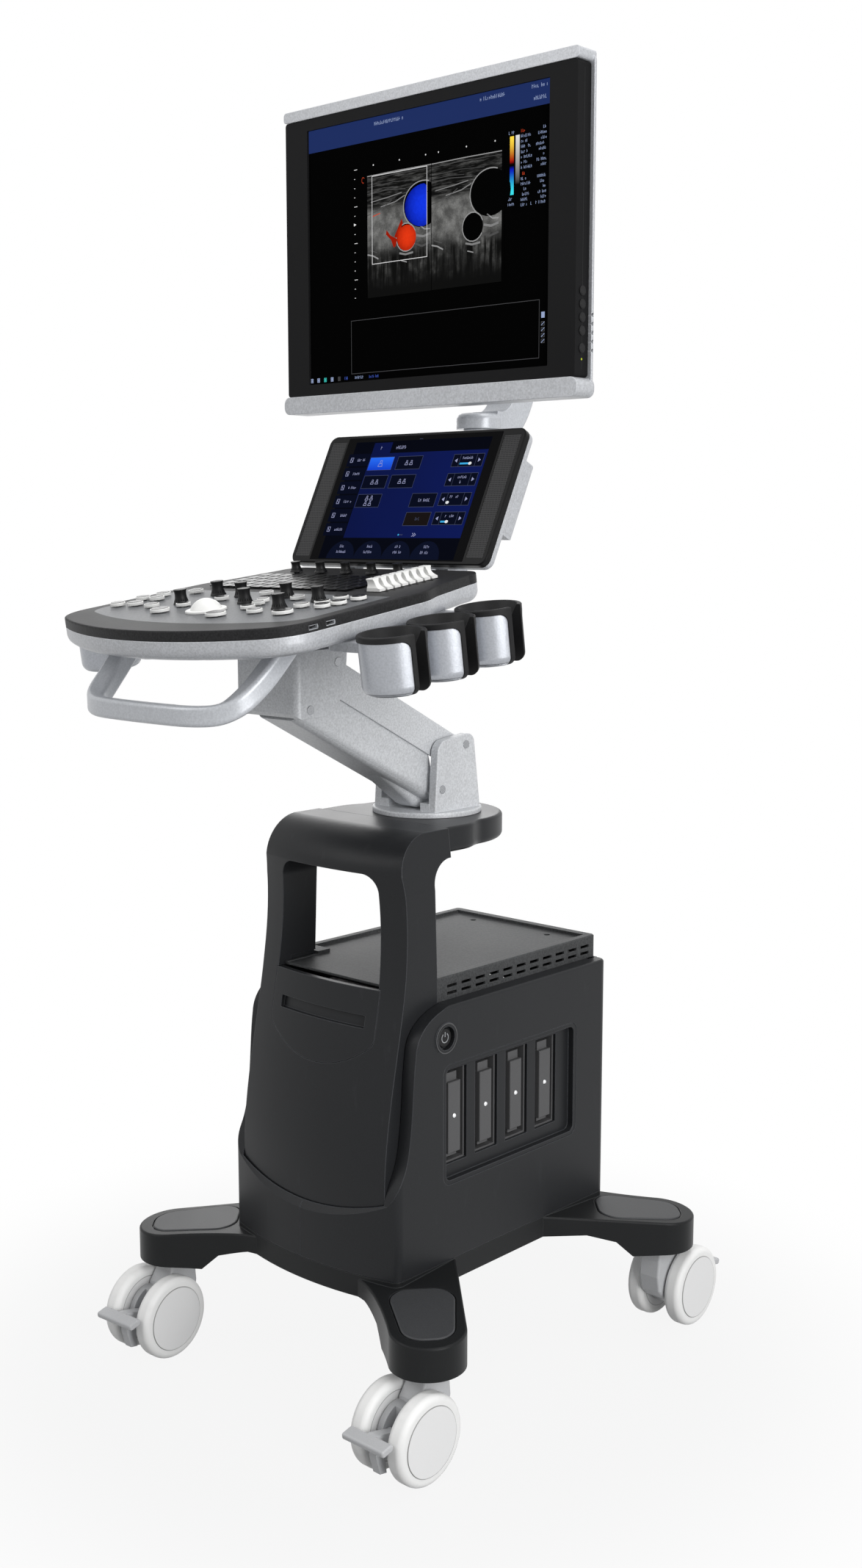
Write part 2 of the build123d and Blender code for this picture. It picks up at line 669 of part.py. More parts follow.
def build_links():
    place = arm_place()
    along, across = arm_drop()
    # upper link: an inverted channel
    upper = block(-9, LINK + 9, -ARM_HALF, ARM_HALF, -31, 8)
    upper = fillet(upper.edges().filter_by(Axis.X).sort_by(Axis.Z)[-2:], 3)
    upper -= block(-20, LINK + 20, -ARM_HALF + 3, ARM_HALF - 3, -40, 4)
    for x0, x1 in ((-9, 12), (LINK - 12, LINK + 9)):
        upper -= block(x0 - 1 if x0 < 0 else x0, x1 if x0 < 0 else x1 + 1, -60, 60, -40, -8)
    for x in (0, LINK):
        boss = Pos(x, 0, 0) * Rot(90, 0, 0) * Cylinder(8, 2 * ARM_HALF)
        upper += boss
        upper -= Pos(x, 0, 0) * Rot(90, 0, 0) * Cylinder(PIN_R + 0.01, 2 * ARM_HALF + 4)
    save("upper_arm", place * upper)

    # lower link: a channel that nests inside the upper one when the arm comes down
    half = ARM_HALF - 3.4
    x0 = along
    x1 = along + LINK
    low = across - 14
    lower = block(x0 - 4, x1 - 2, -half, half, low, -27)
    lower = fillet(lower.edges().filter_by(Axis.X).sort_by(Axis.Z)[:2], 12)
    lower -= block(x0 - 20, x1 + 20, -half + 3.5, half - 3.5, low + 4, 0)
    lower -= xz_prism([(x0 - 20, -20), (x0 - 20, across + 8), (x0 + 2, across + 8), (x0 + 34, -20)], -60, 60)
    lower -= xz_prism([(x1 + 20, -20), (x1 + 20, across + 8), (x1 - 4, across + 8), (x1 - 30, -20)], -60, 60)
    root = xz_prism([(x0, across - 25), (x0 + 78, low + 1), (x0 + 78, low + 6), (x0, across)], -19, 19)
    root = fillet(root.faces().sort_by(Axis.Z)[0].edges().filter_by(Axis.Y, reverse=True), 8)
    knuckle = Pos(x0, 0, across) * Rot(90, 0, 0) * Cylinder(25, 38)
    root += fillet(knuckle.edges().filter_by(GeomType.CIRCLE), 8)
    root -= block(x0 - 60, x0 + 100, -40, 40, across + 6, across + 60)
    lower += root
    for x in (x0, x1):
        lower += Pos(x, 0, across) * Rot(90, 0, 0) * Cylinder(8.2, 2 * half)
        lower -= Pos(x, 0, across) * Rot(90, 0, 0) * Cylinder(PIN_R + 0.01, 2 * half + 4)
    save("lower_arm", place * lower)

    upper_pins = []
    lower_pins = []
    for y, z in (PIVOT_A, PIVOT_Q1):
        upper_pins.append(rod_x(-CHEEK_OUT - 0.6, CHEEK_OUT + 0.6, y, z, PIN_R))
    for y, z in (PIVOT_B, PIVOT_Q2):
        lower_pins.append(rod_x(-CHEEK_OUT - 0.6, CHEEK_OUT + 0.6, y, z, PIN_R))
    save("upper_arm_pins", Compound(children=upper_pins))
    save("lower_arm_pins", Compound(children=lower_pins))


BRACKET_FRONT = -250.0
BRACKET_TOP = 875.0


def build_bracket():
    outline = [
        (BRACKET_FRONT, 806), (BRACKET_FRONT, BRACKET_TOP), (-174, BRACKET_TOP), (-176, 850), (-183, 822),
        (-193, 808), (-206, 802), (BRACKET_FRONT + 6, 801),
    ]
    body = side_prism(outline, -CHEEK_OUT, CHEEK_OUT)
    front_edges = body.edges().filter_by(Axis.Z).sort_by(Axis.Y)[:2]
    body = fillet(front_edges, 8)
    inner = [
        (BRACKET_FRONT + 5, 790), (BRACKET_FRONT + 5, 863), (-204, 863), (-204, 872.6), (-160, 872.6), (-160, 790),
    ]
    body -= side_prism(inner, -CHEEK_IN, CHEEK_IN)
    for y, z in (PIVOT_Q1, PIVOT_Q2):
        body -= rod_x(-60, 60, y, z, PIN_R + RUNNING)
    body += rod_z(0, SWIVEL_Y, BRACKET_TOP - 1, BRACKET_TOP + 15, 14)
    save("head_bracket", body)


# ---------------------------------------------------------------- console

def console_outline(inset):
    """Plan of the console in its own plane."""
    k = inset
    nose = (150 - k * 0.6, -103 + k * 0.9)
    cheek_mid = (175.5 - k * 0.9, -80 + k * 0.5)
    side = (183 - k, -46 + k * 0.1)
    waist = (179.5 - k, 108.0)
    narrow = (166.8 - k, 149.0)
    tail = (153 - k, 214.0)
    tail_mid = (146.5 - k * 0.8, 233.0 - k * 0.6)
    rear = (129.0, 240.5 - k)

    def left(point):
        return (-point[0], point[1])

    edges = [
        ThreePointArc(left(nose), (0, -139.0 + k), nose),
        ThreePointArc(nose, cheek_mid, side),
        Line(side, waist),
        Spline(waist, narrow, tangents=((-0.02, 1), (-0.2, 1))),
        Line(narrow, tail),
        ThreePointArc(tail, tail_mid, rear),
        Line(rear, left(rear)),
        ThreePointArc(left(rear), left(tail_mid), left(tail)),
        Line(left(tail), left(narrow)),
        Spline(left(narrow), left(waist), tangents=((-0.2, -1), (-0.02, -1))),
        Line(left(waist), left(side)),
        ThreePointArc(left(side), left(cheek_mid), left(nose)),
    ]
    return make_face(edges)


def panel_outline(shrink):
    """Grey control panel let into the front of the console top."""
    k = shrink
    edges = [
        ThreePointArc((-146 + k, -66 + k), (0, -97 + k), (146 - k, -66 + k)),
        ThreePointArc((146 - k, -66 + k), (161 - k, -54 + k), (167 - k, -36 + k)),
        Line((167 - k, -36 + k), (163 - k, 78 - k)),
        Line((163 - k, 78 - k), (-163 + k, 78 - k)),
        Line((-163 + k, 78 - k), (-167 + k, -36 + k)),
        ThreePointArc((-167 + k, -36 + k), (-161 + k, -54 + k), (-146 + k, -66 + k)),
    ]
    return make_face(edges)


def layer(face, h0, h1):
    return Pos(0, 0, h0) * extrude(face, h1 - h0)


CUP_X = 228.5
CUP_S = (7.0, 80.0, 153.5)
CUP_R = 34.5
CUP_TOP = -20.5
CUP_BOTTOM = -81.0
CUP_TURN = 8.0

control_knobs = [(-76, -2), (-77, 52), (-35, 50), (8, 16), (33, 54), (84, -5), (95, 41)]
menu_knobs = [(-107 + 41.5 * i, 201) for i in range(5)]
MENU_R = 6.4
KNOB_R = 7.6
panel_keys = [
    (-151, -31, 8.5), (-130, -23, 9.0), (-155, 8, 8.5), (-133, 10, 8.5), (-151, 34, 8.5), (-122, 58, 8.5),
    (-95, -28, 8.5), (-56, -16, 8.0), (-54, -50, 10.5), (-40, 25, 8.0), (-8, 62, 8.0), (28, 24, 7.0),
    (38, 8, 7.0), (46, -14, 8.0), (42, -55, 11.0), (75, -31, 8.5), (60, 44, 8.0), (116, -30, 11.0),
    (106, 6, 8.5), (117, 25, 8.5), (134, 8, 8.5), (139, 27, 8.5), (117, 52, 8.5), (141, 54, 8.5),
]
SOCKET_S = (-59.0, -35.4)
SOCKET_H = -8.9
KEYBOARD_ROWS = 5
KEYBOARD_COLUMNS = 13
KEY_PITCH = 17.4
BALL_R = 18.5
BALL_H = -5.0
BALL_S = -32.0
SLIDER_X = 118.0
SLIDER_S = [104.0 + 11.8 * i for i in range(8)]
SLIDER_TRAVEL = 14.0


def keyboard_spots():
    spots = []
    for row in range(KEYBOARD_ROWS):
        for column in range(KEYBOARD_COLUMNS):
            spots.append((-136 + column * KEY_PITCH + row * 1.5, 104 + row * KEY_PITCH))
    return spots


def build_console_shell():
    deep = CONSOLE_DEPTH
    tub = layer(console_outline(0), -deep, -RIM_DEPTH - 0.1)
    tub = fillet(tub.faces().sort_by(Axis.Z)[0].edges(), 13)
    tub -= layer(console_outline(6), -deep + SKIN, 0)
    rails = block(150, 201, -8, 168, -deep - 9, -deep + 1)
    rails = fillet(rails.edges().filter_by(Axis.Z), 6)
    for s in CUP_S:
        rails -= Pos(CUP_X, s, 0) * Cylinder(CUP_R + 0.1, 200)
    tub += rails + mirrored(rails)
    shell = console_place * tub
    hub_top = CONSOLE_Z + (SWIVEL_Y - CONSOLE_Y) * sin(radians(CONSOLE_TILT)) - CONSOLE_DEPTH
    hub = rod_z(0, SWIVEL_Y, BRACKET_TOP + GAP, hub_top + 14, 46)
    hub = fillet(hub.edges().sort_by(Axis.Z)[0], 3)
    ceiling = console_place * block(-200, 200, -250, 250, -deep + 8, 60)
    shell += hub - ceiling
    shell -= rod_z(0, SWIVEL_Y, BRACKET_TOP - 5, BRACKET_TOP + 18, 14 + RUNNING)
    for side in (-1, 1):
        lug = block(-4, 4, -62, TOUCH_HINGE[0], TOUCH_HINGE[1] - 12, TOUCH_HINGE[1] + 1)
        lug += rod_x(-4, 4, TOUCH_HINGE[0], TOUCH_HINGE[1], 8)
        lug -= rod_x(-10, 10, TOUCH_HINGE[0], TOUCH_HINGE[1], 4 + RUNNING)
        shell += Pos(side * 88, 0, 0) * lug
        shell += Pos(side * 60, 0, 0) * lug
    shell -= console_place * layer(console_outline(6), -deep + SKIN, 40)
    save("console_shell", shell)


def build_console_top():
    rim = layer(console_outline(0), -RIM_DEPTH, 0)
    rim = fillet(rim.faces().sort_by(Axis.Z)[-1].edges(), 1.5)
    rim -= layer(console_outline(7), -RIM_DEPTH - 1, -3)
    rim -= layer(panel_outline(-0.2), -3.05, 2)
    rim -= layer(panel_outline(5), -20, 2)
    for x, s in menu_knobs:
        rim -= rod_z(x, s, -8, 4, 3 + 0.4)
    for s in SLIDER_S:
        rim -= block(SLIDER_X - SLIDER_TRAVEL - 3.2, SLIDER_X + SLIDER_TRAVEL + 3.2, s - 1.4, s + 1.4, -8, 4)
    for x, s in keyboard_spots():
        rim -= block(x - 2.6, x + 2.6, s - 2.6, s + 2.6, -8, 4)
    for s in SOCKET_S:
        rim -= block(172, 190, s, s + 13.4, SOCKET_H, SOCKET_H + 5)
    save("console_rim", console_place * rim)

    panel = layer(panel_outline(0), -3, 0)
    for x, s in control_knobs:
        panel -= rod_z(x, s, -8, 4, 3 + RUNNING)
    for x, s, r in panel_keys:
        panel -= rod_z(x, s, -8, 4, 3.4)
    panel -= rod_z(0, BALL_S, -8, 4, 20.2)
    save("control_panel", console_place * panel)


def knob(radius, height):
    """Waisted control knob on a short shaft."""
    edges = [
        Line((0, 0.4), (radius + 1.4, 0.4)),
        Line((radius + 1.4, 0.4), (radius + 1.0, 1.6)),
        ThreePointArc((radius + 1.0, 1.6), (radius - 1.2, height * 0.55), (radius - 0.4, height)),
        Line((radius - 0.4, height), (0, height)),
        Line((0, height), (0, 0.4)),
    ]
    face = make_face([Plane.XZ * e for e in edges])
    body = revolve(face, Axis.Z, 360)
    grip_cuts = []
    for i in range(18):
        grip_cuts.append(Rot(0, 0, i * 20) * block(radius - 0.8, radius + 2, -0.5, 0.5, 3, height + 1))
    body -= grip_cuts
    return body


def build_controls():
    big = knob(KNOB_R, 16) + rod_z(0, 0, -9, 1, 3)
    for number, (x, s) in enumerate(control_knobs, 1):
        save(f"control_knob_{number}", console_place * Pos(x, s, 0) * big)
    small = knob(MENU_R, 12.5)
    small += rod_z(0, 0, -7, 1, 3)
    menus = [console_place * Pos(x, s, 1.2) * small for x, s in menu_knobs]
    save("menu_knobs", Compound(children=menus))

    keys = []
    for x, s, r in panel_keys:
        cap = rod_z(x, s, 1.3, 4.6, r)
        cap = fillet(cap.edges().sort_by(Axis.Z)[-1], 0.8)
        keys.append(console_place * (cap + rod_z(x, s, -6, 1.5, 3)))
    save("panel_keys", Compound(children=keys))

    caps = []
    for x, s in keyboard_spots():
        cap = block(x - 7.4, x + 7.4, s - 7.4, s + 7.4, 0.9, 2.2)
        caps.append(console_place * (cap + block(x - 2, x + 2, s - 2, s + 2, -5, 1)))
    save("keyboard_keys", Compound(children=caps))

    ball = Pos(0, BALL_S, BALL_H) * Sphere(BALL_R)
    save("trackball", console_place * ball)
    ring = rod_z(0, BALL_S, 0.1, 2.6, 22)
    ring = fillet(ring.edges().sort_by(Axis.Z)[-1], 1.2)
    ring += rod_z(0, BALL_S, -26, 0.2, 20)
    ring -= Pos(0, BALL_S, BALL_H) * Sphere(BALL_R + 0.08)
    save("trackball_ring", console_place * ring)

    sliders = []
    for s in SLIDER_S:
        cap = slider_cap() + block(-3, 3, -1.1, 1.1, -6, 1)
        sliders.append(console_place * Pos(SLIDER_X, s, 0) * cap)
    save("gain_sliders", Compound(children=sliders))


def slider_cap():
    """Boot-shaped cap: upright grip with a toe on one side."""
    edges = [
        Line((-10, 0.5), (9.5, 0.5)),
        Line((9.5, 0.5), (9.3, 3.2)),
        ThreePointArc((9.3, 3.2), (3.6, 6.4), (1.0, 12.5)),
        Line((1.0, 12.5), (1.0, 14)),
        Line((1.0, 14), (-9.6, 14)),
        ThreePointArc((-9.6, 14), (-9.0, 7), (-10, 0.5)),
    ]
    face = make_face(edges)
    cap = extrude(Plane.XZ.offset(-4.5) * face, 9)
    waist = Pos(-4, 0, 8.5) * Rot(0, 90, 0) * Cylinder(7.5, 30)
    cap -= Pos(0, 10.6, 0) * waist
    cap -= Pos(0, -10.6, 0) * waist
    return fillet(cap.faces().sort_by(Axis.Z)[-1].edges(), 0.8)


def cup_slot(half, corner, top, deep):
    """Cable slot of a cup, open outwards and downwards, with flared upper corners."""
    edges = [
        Line((-half, -110), (half, -110)),
        Line((half, -110), (half, top - corner)),
        ThreePointArc((half, top - corner), (half + corner * 0.293, top - corner * 0.293), (half + corner, top)),
        Line((half + corner, top), (half + corner, 10)),
        Line((half + corner, 10), (-half - corner, 10)),
        Line((-half - corner, 10), (-half - corner, top)),
        ThreePointArc((-half - corner, top), (-half - corner * 0.293, top - corner * 0.293), (-half, top - corner)),
        Line((-half, top - corner), (-half, -110)),
    ]
    return Rot(0, 0, CUP_TURN) * extrude(Plane.YZ.offset(deep) * make_face(edges), 60 - deep)


def build_cups():
    shell = rod_z(0, 0, CUP_BOTTOM, CUP_TOP - 6.2, CUP_R)
    shell = fillet(shell.edges().sort_by(Axis.Z)[0], 10)
    shell -= rod_z(0, 0, CUP_BOTTOM + 3, 0, CUP_R - 2.6)
    shell -= cup_slot(14, 9, CUP_TOP - 6, 10)
    liner = rod_z(0, 0, CUP_BOTTOM + 3.1, CUP_TOP, CUP_R - 2.7)
    liner += rod_z(0, 0, CUP_TOP - 6, CUP_TOP, CUP_R + 0.8)
    liner = fillet(liner.faces().sort_by(Axis.Z)[-1].edges(), 1.5)
    band = cup_slot(13.7, 9.3, CUP_TOP - 5.7, 12)
    rounded = rod_z(0, 0, CUP_BOTTOM + 0.5, CUP_TOP - 3, CUP_R + 0.8)
    rounded = fillet(rounded.edges().sort_by(Axis.Z)[0], 10)
    liner += band & rounded
    liner -= Pos(0, 0, CUP_BOTTOM + 7) * extrude(Circle(18), 80, taper=-3)
    funnel = Pos(0, 0, CUP_TOP - 20) * extrude(Circle(19.5), 22, taper=-29)
    liner -= funnel
    liner -= rod_z(0, 0, CUP_BOTTOM - 5, 0, 14)
    liner -= Rot(0, 0, CUP_TURN) * block(0, 60, -9, 9, -100, 0)
    shells = []
    liners = []
    for s in CUP_S:
        for flip in (False, True):
            for piece, group in ((shell, shells), (liner, liners)):
                placed = Pos(CUP_X, s, 0) * piece
                if flip:
                    placed = mirrored(placed)
                group.append(console_place * placed)
    save("probe_cups", Compound(children=shells))
    save("cup_liners", Compound(children=liners))


def build_handle():
    """Grab handle: a bowed bar across the front with two arms that climb to the console."""
    right = [
        (0, -421, 820), (45, -419.5, 820), (84, -411.5, 820.5), (104, -398, 824.5), (114, -379, 838),
        (119, -355, 861), (121.5, -328, 891), (123, -303, 919),
    ]
    left = [(-x, y, z) for x, y, z in reversed(right[1:])]
    path = Edge.make_spline([Vector(*p) for p in left + right])
    sections = []
    stations = 28
    for i in range(stations + 1):
        t = i / stations
        tangent = path.tangent_at(t)
        outwards = Vector(tangent.Y, -tangent.X, 0)
        climb = min(1.0, abs(tangent.Z) / 0.6)
        plane = Plane(origin=path.position_at(t), x_dir=outwards, z_dir=tangent)
        sections.append(plane * RectangleRounded(15 + 9 * climb, 21, 4 + climb))
    handle = loft(sections)
    handle -= console_place * block(-250, 250, -250, 250, -CONSOLE_DEPTH - 0.1, 80)
    save("front_handle", handle)


# ---------------------------------------------------------------- touch panel

def touch_layer(width, height, radius, w0, w1):
    """Slab of the touch panel between two depths behind its front face."""
    return Pos(0, 0, -w1) * extrude(RectangleRounded(width, height, radius), w1 - w0)


def build_touch():
    width = 2 * TOUCH_HALF
    bezel = touch_layer(width, TOUCH_HEIGHT, 11, 0, 8)
    bezel = chamfer(bezel.faces().sort_by(Axis.Z)[-1].edges(), 1.2)
    bezel -= touch_layer(2 * GLASS_HALF + 0.4, 161.4, 1, -1, 4)
    bezel -= touch_layer(2 * GLASS_HALF - 12, 150, 4, -1, 20)
    for side in (-1, 1):
        bezel -= Pos(side * (GLASS_HALF + 15.5), 0, 0) * touch_layer(24.4, 152, 1, -1, 0.4)
    save("touch_bezel", touch_place * bezel)

    glass = touch_layer(2 * GLASS_HALF, 161, 1, 0.2, 3.9)
    save("touch_glass", touch_place * glass)

    shell = touch_layer(width - 1, TOUCH_HEIGHT - 1, 11, 8.1, 18)
    shell = fillet(shell.faces().sort_by(Axis.Z)[0].edges(), 5)
    shell -= touch_layer(width - 12, TOUCH_HEIGHT - 12, 8, 8, 15)
    bump = Pos(0, 10, -30.5) * Box(292, 92, 26)
    bump = fillet(bump.faces().sort_by(Axis.Z)[0].edges(), 7)
    bump -= Pos(0, 10, -26) * Box(280, 80, 28)
    shell += bump
    shell -= Pos(0, 10, -14) * Box(280, 80, 12)
    placed = touch_place * shell
    arms = None
    for side in (-1, 1):
        y0 = TOUCH_HINGE[0]
        z0 = TOUCH_HINGE[1]
        arm = side_prism([(y0 - 7, z0), (y0 + 7, z0), (-34, 990), (-46, 975)], -9.4, 9.4)
        arm += rod_x(-9.4, 9.4, y0, z0, 7.5)
        arm += rod_x(-17.5, 17.5, y0, z0, 4)
        arm = Pos(side * 74, 0, 0) * arm
        arms = arm if arms is None else arms + arm
    arms -= touch_place * touch_layer(width, TOUCH_HEIGHT, 11, -5, 14)
    save("touch_shell", placed + arms)


# ---------------------------------------------------------------- main display

def display_slab(half, low, high, y0, y1, radius):
    face = Pos(0, (low + high) / 2) * RectangleRounded(2 * half, high - low, radius)
    return front_prism(face, y0, y1)


def build_display():
    bezel = display_slab(BEZEL_HALF, BEZEL_LOW, BEZEL_HIGH, 0, DISPLAY_DEPTH - 1, 4)
    bezel -= display_slab(SCREEN_HALF_W, SCREEN_LOW, SCREEN_HIGH, -1, 30, 1)
    bezel -= display_slab(BEZEL_HALF - 3, BEZEL_LOW + 3, BEZEL_HIGH - 3, 3, 30, 3)
    save("display_bezel", bezel)

    screen = display_slab(SCREEN_HALF_W + 8, SCREEN_LOW - 8, SCREEN_HIGH + 8, 3.1, 14, 2)
    save("display_screen", screen)

    low_bar = display_slab(SHELL_HALF, SHELL_LOW, BEZEL_LOW - 0.2, -2.5, DISPLAY_DEPTH + 5, 9)
    high_bar = display_slab(SHELL_HALF - 3, BEZEL_HIGH + 0.2, SHELL_HIGH, -1, DISPLAY_DEPTH + 5, 4)
    back = display_slab(SHELL_HALF - 1, SHELL_LOW + 6, SHELL_HIGH - 3, DISPLAY_DEPTH, DISPLAY_DEPTH + 6, 9)
    back = fillet(back.faces().sort_by(Axis.Y)[-1].edges(), 4)
    bulge = display_slab(150, 1210, 1420, DISPLAY_DEPTH + 4, DISPLAY_DEPTH + 24, 30)
    bulge = fillet(bulge.faces().sort_by(Axis.Y)[-1].edges(), 12)
    bulge -= display_slab(140, 1220, 1410, DISPLAY_DEPTH, DISPLAY_DEPTH + 20, 22)
    shell = low_bar + high_bar + back + bulge
    for i in range(12):
        z = 1370
        shell -= block(-66 + i * 11, -60 + i * 11, DISPLAY_DEPTH + 10, DISPLAY_DEPTH + 40, z, z + 26)
    y, z = DISPLAY_TILT_AXIS
    for side in (-1, 1):
        ear = block(side * 30 - 5, side * 30 + 5, DISPLAY_DEPTH + 20, y, z - 14, z + 14)
        ear += rod_x(side * 30 - 5, side * 30 + 5, y, z, 14)
        shell += ear
    shell += rod_x(-30, 30, y, z, 5)
    for i in range(5):
        z = DISPLAY_BUTTON_Z + i * 9.5
        shell -= rod_x(SHELL_HALF - 12, SHELL_HALF + 2, DISPLAY_DEPTH + 2.5, z, 2.3)
    save("display_shell", shell)

    buttons = []
    for i in range(5):
        z = DISPLAY_BUTTON_Z + i * 9.5
        buttons.append(rod_x(SHELL_HALF - 8, SHELL_HALF + 0.2, DISPLAY_DEPTH + 2.5, z, 2.0))
    save("display_buttons", Compound(children=buttons))

    save("display_neck", display_neck())
    save("display_arm", display_arm())


def display_neck():
    """Curved neck that turns on the post and carries the display's tilt hinge."""
    y, z = DISPLAY_TILT_AXIS
    outer = [(112, 1106), (150, 1116), (176, 1146), (190, 1182), (192, 1222), (176, 1262), (140, 1294), (96, 1306)]
    inner = [(90, 1276), (122, 1262), (146, 1236), (154, 1204), (150, 1172), (136, 1150), (116, 1146)]
    edges = [
        Spline(*outer),
        Line(outer[-1], inner[0]),
        Spline(*inner),
        Line(inner[-1], outer[0]),
    ]
    blade = extrude(Plane.YZ.offset(-20) * make_face(edges), 40)
    blade += side_prism([(y, z - 14), (y, z + 14), (98, 1305), (92, 1277)], -24, 24)
    blade += rod_x(-24.5, 24.5, y, z, 16)
    hood = Pos(0, POST_Y, 1133.5) * Cylinder(27, 19)
    hood = fillet(hood.edges().sort_by(Axis.Z)[-1], 8)
    neck = blade + hood
    neck -= rod_z(0, POST_Y, 1100, 1139, 15 + RUNNING)
    neck -= rod_z(0, POST_Y, 1080, 1124 + GAP, 27.5)
    neck -= rod_x(-40, 40, y, z, 5 + RUNNING)
    return neck


def display_arm():
    """Fixed arm that rises behind the touch panel from the back of the console."""
    outer = [(-56, 921), (10, 930), (66, 962), (104, 1020), (121, 1080)]
    inner = [(85, 1080), (72, 1030), (40, 985), (0, 960), (-56, 950)]
    edges = [
        Spline(*outer),
        Line(outer[-1], inner[0]),
        Spline(*inner),
        Line(inner[-1], outer[0]),
    ]
    arm = extrude(Plane.YZ.offset(-22) * make_face(edges), 44)
    arm += rod_z(0, POST_Y, 1072, 1124, 18)
    arm += rod_z(0, POST_Y, 1124, 1138, 15)
    arm -= console_place * block(-300, 300, -250, 240.7, -80, 60)
    return arm


build_casters()
build_base()
build_chassis()
build_column()
build_covers()
build_tray()
build_electronics()
build_turret()
build_links()
build_bracket()
build_console_shell()
build_console_top()
build_controls()
build_cups()
build_handle()
build_touch()
build_display()
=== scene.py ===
import math
import random

import bmesh
import bpy
from mathutils import Matrix, Vector


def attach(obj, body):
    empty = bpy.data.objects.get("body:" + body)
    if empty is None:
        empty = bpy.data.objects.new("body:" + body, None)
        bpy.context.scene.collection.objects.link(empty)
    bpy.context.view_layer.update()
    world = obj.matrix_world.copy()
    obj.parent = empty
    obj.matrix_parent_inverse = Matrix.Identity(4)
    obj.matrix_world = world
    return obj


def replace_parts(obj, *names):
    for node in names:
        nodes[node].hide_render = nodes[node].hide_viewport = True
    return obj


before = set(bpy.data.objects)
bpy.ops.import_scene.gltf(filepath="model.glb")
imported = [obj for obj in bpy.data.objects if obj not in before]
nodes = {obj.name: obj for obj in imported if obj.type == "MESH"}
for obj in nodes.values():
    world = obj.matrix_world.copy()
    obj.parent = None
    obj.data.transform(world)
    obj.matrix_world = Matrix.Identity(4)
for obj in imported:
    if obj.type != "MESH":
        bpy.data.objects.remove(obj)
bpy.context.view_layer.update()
print("frame loaded:", len(nodes), "nodes")

displayFrontY = 0.05893  # where the display's front face stands in the frame
millimetres = Matrix.Scale(0.001, 4)  # flat drawings are in millimetres: across, up, out


def slopedPlace(y, z, degrees):  # a plane across the machine that leans back from lying flat
    return Matrix.Translation((0, y, z)) @ Matrix.Rotation(math.radians(degrees), 4, "X") @ millimetres


deckPlace = slopedPlace(displayFrontY - 0.300, 0.924, 8.3)
touchPlace = slopedPlace(displayFrontY - 0.030, 1.041, 64)
screenPlace = slopedPlace(displayFrontY + 0.0031, 0, 90)
sidePlace = Matrix(((0, 0, 1, 0), (1, 0, 0, displayFrontY), (0, 1, 0, 0), (0, 0, 0, 1))) @ millimetres


class Flow:  # one socket, ready for sums
    def __init__(self, recipe, socket):
        self.recipe = recipe
        self.socket = socket

    def other(self, name):  # another output of the same node
        return Flow(self.recipe, self.socket.node.outputs[name])

    def math(self, kind, *values):
        return self.recipe.add("ShaderNodeMath", {"operation": kind}, dict(enumerate(values)))

    def __add__(self, other):
        return self.math("ADD", self, other)

    def __radd__(self, other):
        return self.math("ADD", other, self)

    def __sub__(self, other):
        return self.math("SUBTRACT", self, other)

    def __rsub__(self, other):
        return self.math("SUBTRACT", other, self)

    def __mul__(self, other):
        return self.math("MULTIPLY", self, other)

    def __rmul__(self, other):
        return self.math("MULTIPLY", other, self)

    def __truediv__(self, other):
        return self.math("DIVIDE", self, other)

    def __mod__(self, other):
        return self.math("MODULO", self, other)

    def __pow__(self, other):
        return self.math("POWER", self, other)

    def __lt__(self, other):
        return self.math("LESS_THAN", self, other)

    def __gt__(self, other):
        return self.math("GREATER_THAN", self, other)

    def floor(self):
        return self.math("FLOOR", self)

    def fraction(self):
        return self.math("FRACT", self)

    def atLeast(self, other):
        return self.math("MAXIMUM", self, other)

    def atMost(self, other):
        return self.math("MINIMUM", self, other)

    def rise(self, start, end):  # 0 before start, 1 after end
        values = {"Value": self, "From Min": start, "From Max": end, "To Min": 0.0, "To Max": 1.0}
        return self.recipe.add("ShaderNodeMapRange", {"interpolation_type": "SMOOTHSTEP"}, values, "Result")

    def band(self, start, full, fade, end):  # 0, up to 1 between full and fade, and 0 again
        return self.rise(start, full) * (1 - self.rise(fade, end))


class Recipe:  # the nodes of a material or of the world
    def __init__(self, tree):
        self.tree = tree

    def add(self, kind, settings, values, out=0):
        node = self.tree.nodes.new(kind)
        for key, value in settings.items():
            setattr(node, key, value)
        for key, value in values.items():
            self.feed(node.inputs[key], value)
        return Flow(self, node.outputs[out])

    def feed(self, socket, value):
        if isinstance(value, Flow):
            self.tree.links.new(value.socket, socket)
        else:
            socket.default_value = value

    def seenDirectly(self):  # 1 for what the camera, a mirror or glass sees
        path = self.add("ShaderNodeLightPath", {}, {}, "Is Camera Ray")
        return path.atLeast(path.other("Is Glossy Ray")).atLeast(path.other("Is Transmission Ray"))


